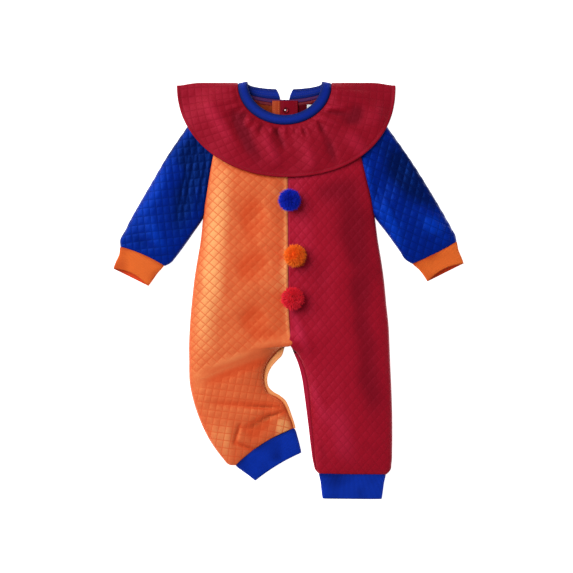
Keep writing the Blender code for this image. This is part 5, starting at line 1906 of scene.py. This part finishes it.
upper, middle = neck_edging(-0.9, 0.9), neck_edging(EDGING_DEPTH / 2, 0.45)
lower = neck_edging(EDGING_DEPTH, 0.3)
straight = (upper, middle, upright(upper))
slanted = (upper[:-1], middle[1:], upright(upper[1:]))
below = (middle, lower, upright(lower))
add_stitches("Neck_overlock_upper", [straight, slanted], 0.3, "violet_thread")
add_stitches("Neck_overlock_lower", [below], 0.34, "crimson_thread")

# %% Coverstitch on the inside of the back neckband
cover = []
for share in (0.3, 0.55, 0.8):
    turns = np.linspace(96, 170, 260)
    for part in (turns, 540 - turns):
        seam, edge = band_edges(np.sort(part))
        path = seam + (edge - seam) * share
        path[:, 2] += BAND_HALF_HEIGHT * 0.98
        cover.append(stitch_along(path, upright(path), 2.3, 0.6))
add_stitches("Neckband_coverstitch", cover, 0.24, "navy_thread")


# %% [markdown]
# ## Surface
#
# The garment lies on a plain pale sheet of paper, larger than any view of it, with a faint grain.
# It gives off light of its own, so that it stays even and pale round the garment.

# %% Floor
FLOOR_HALF = 6.0
corners = [(x * FLOOR_HALF, y * FLOOR_HALF, 0) for x, y in ((-1, -1), (1, -1), (1, 1), (-1, 1))]
floor_mesh = bpy.data.meshes.new("Floor")
floor_mesh.from_pydata(corners, [], [(0, 1, 2, 3)])
floor = bpy.data.objects.new("Floor", floor_mesh)
bpy.context.scene.collection.objects.link(floor)
paper, tree, shader = new_material("Pale paper", Emission_Color=(1, 1, 1), Emission_Strength=0.9)
shader.inputs["Specular IOR Level"].default_value = 0.1
grain = noise(object_place(tree), 700.0, 3.0, 0.6)
fill(tree, shader.inputs["Base Color"], blend(grain, (0.9, 0.9, 0.9), (0.94, 0.94, 0.94)))
fill(tree, shader.inputs["Roughness"], map_range(grain, 0.3, 0.7, 0.85, 0.95))
add_bumps(tree, shader, ((grain, 0.0001, 0.2),))
floor_mesh.materials.append(paper)
floor.location.z = -0.0002  # just clear of the lowest cloth
print("floor across:", 2 * FLOOR_HALF, "m")

# %% [markdown]
# ### Light and camera
#
# A large lamp to one side shows the quilting by its small shadows, as daylight from a window
# would, and a white world fills the hollows. A long lens overhead keeps the outline true.

# %% Light
world = bpy.data.worlds.new("Studio")
world.use_nodes = True
world.node_tree.nodes["Background"].inputs["Color"].default_value = (1, 1, 1, 1)
world.node_tree.nodes["Background"].inputs["Strength"].default_value = 0.4
bpy.context.scene.world = world


def area_light(name, place, target, size, power):
    lamp = bpy.data.lights.new(name, "AREA")
    lamp.shape, lamp.size, lamp.energy = "DISK", size, power
    holder = bpy.data.objects.new(name, lamp)
    holder.location = place
    holder.rotation_euler = (Vector(target) - Vector(place)).to_track_quat("-Z", "Y").to_euler()
    bpy.context.scene.collection.objects.link(holder)


area_light("Key", (-1.8, 1.1, 2.1), (0, 0, 0), 2.8, 107)
print("light:", bpy.data.lights["Key"].energy, "watts")

# %% Camera
lens = bpy.data.cameras.new("Overhead")
lens.lens, lens.sensor_width = 100, 36
camera = bpy.data.objects.new("Overhead", lens)
camera.location = (-0.0026, 0.005, 2.149)
bpy.context.scene.collection.objects.link(camera)
bpy.context.scene.camera = camera
bpy.context.scene.view_settings.view_transform = "Standard"
print("camera height:", camera.location.z, "m")
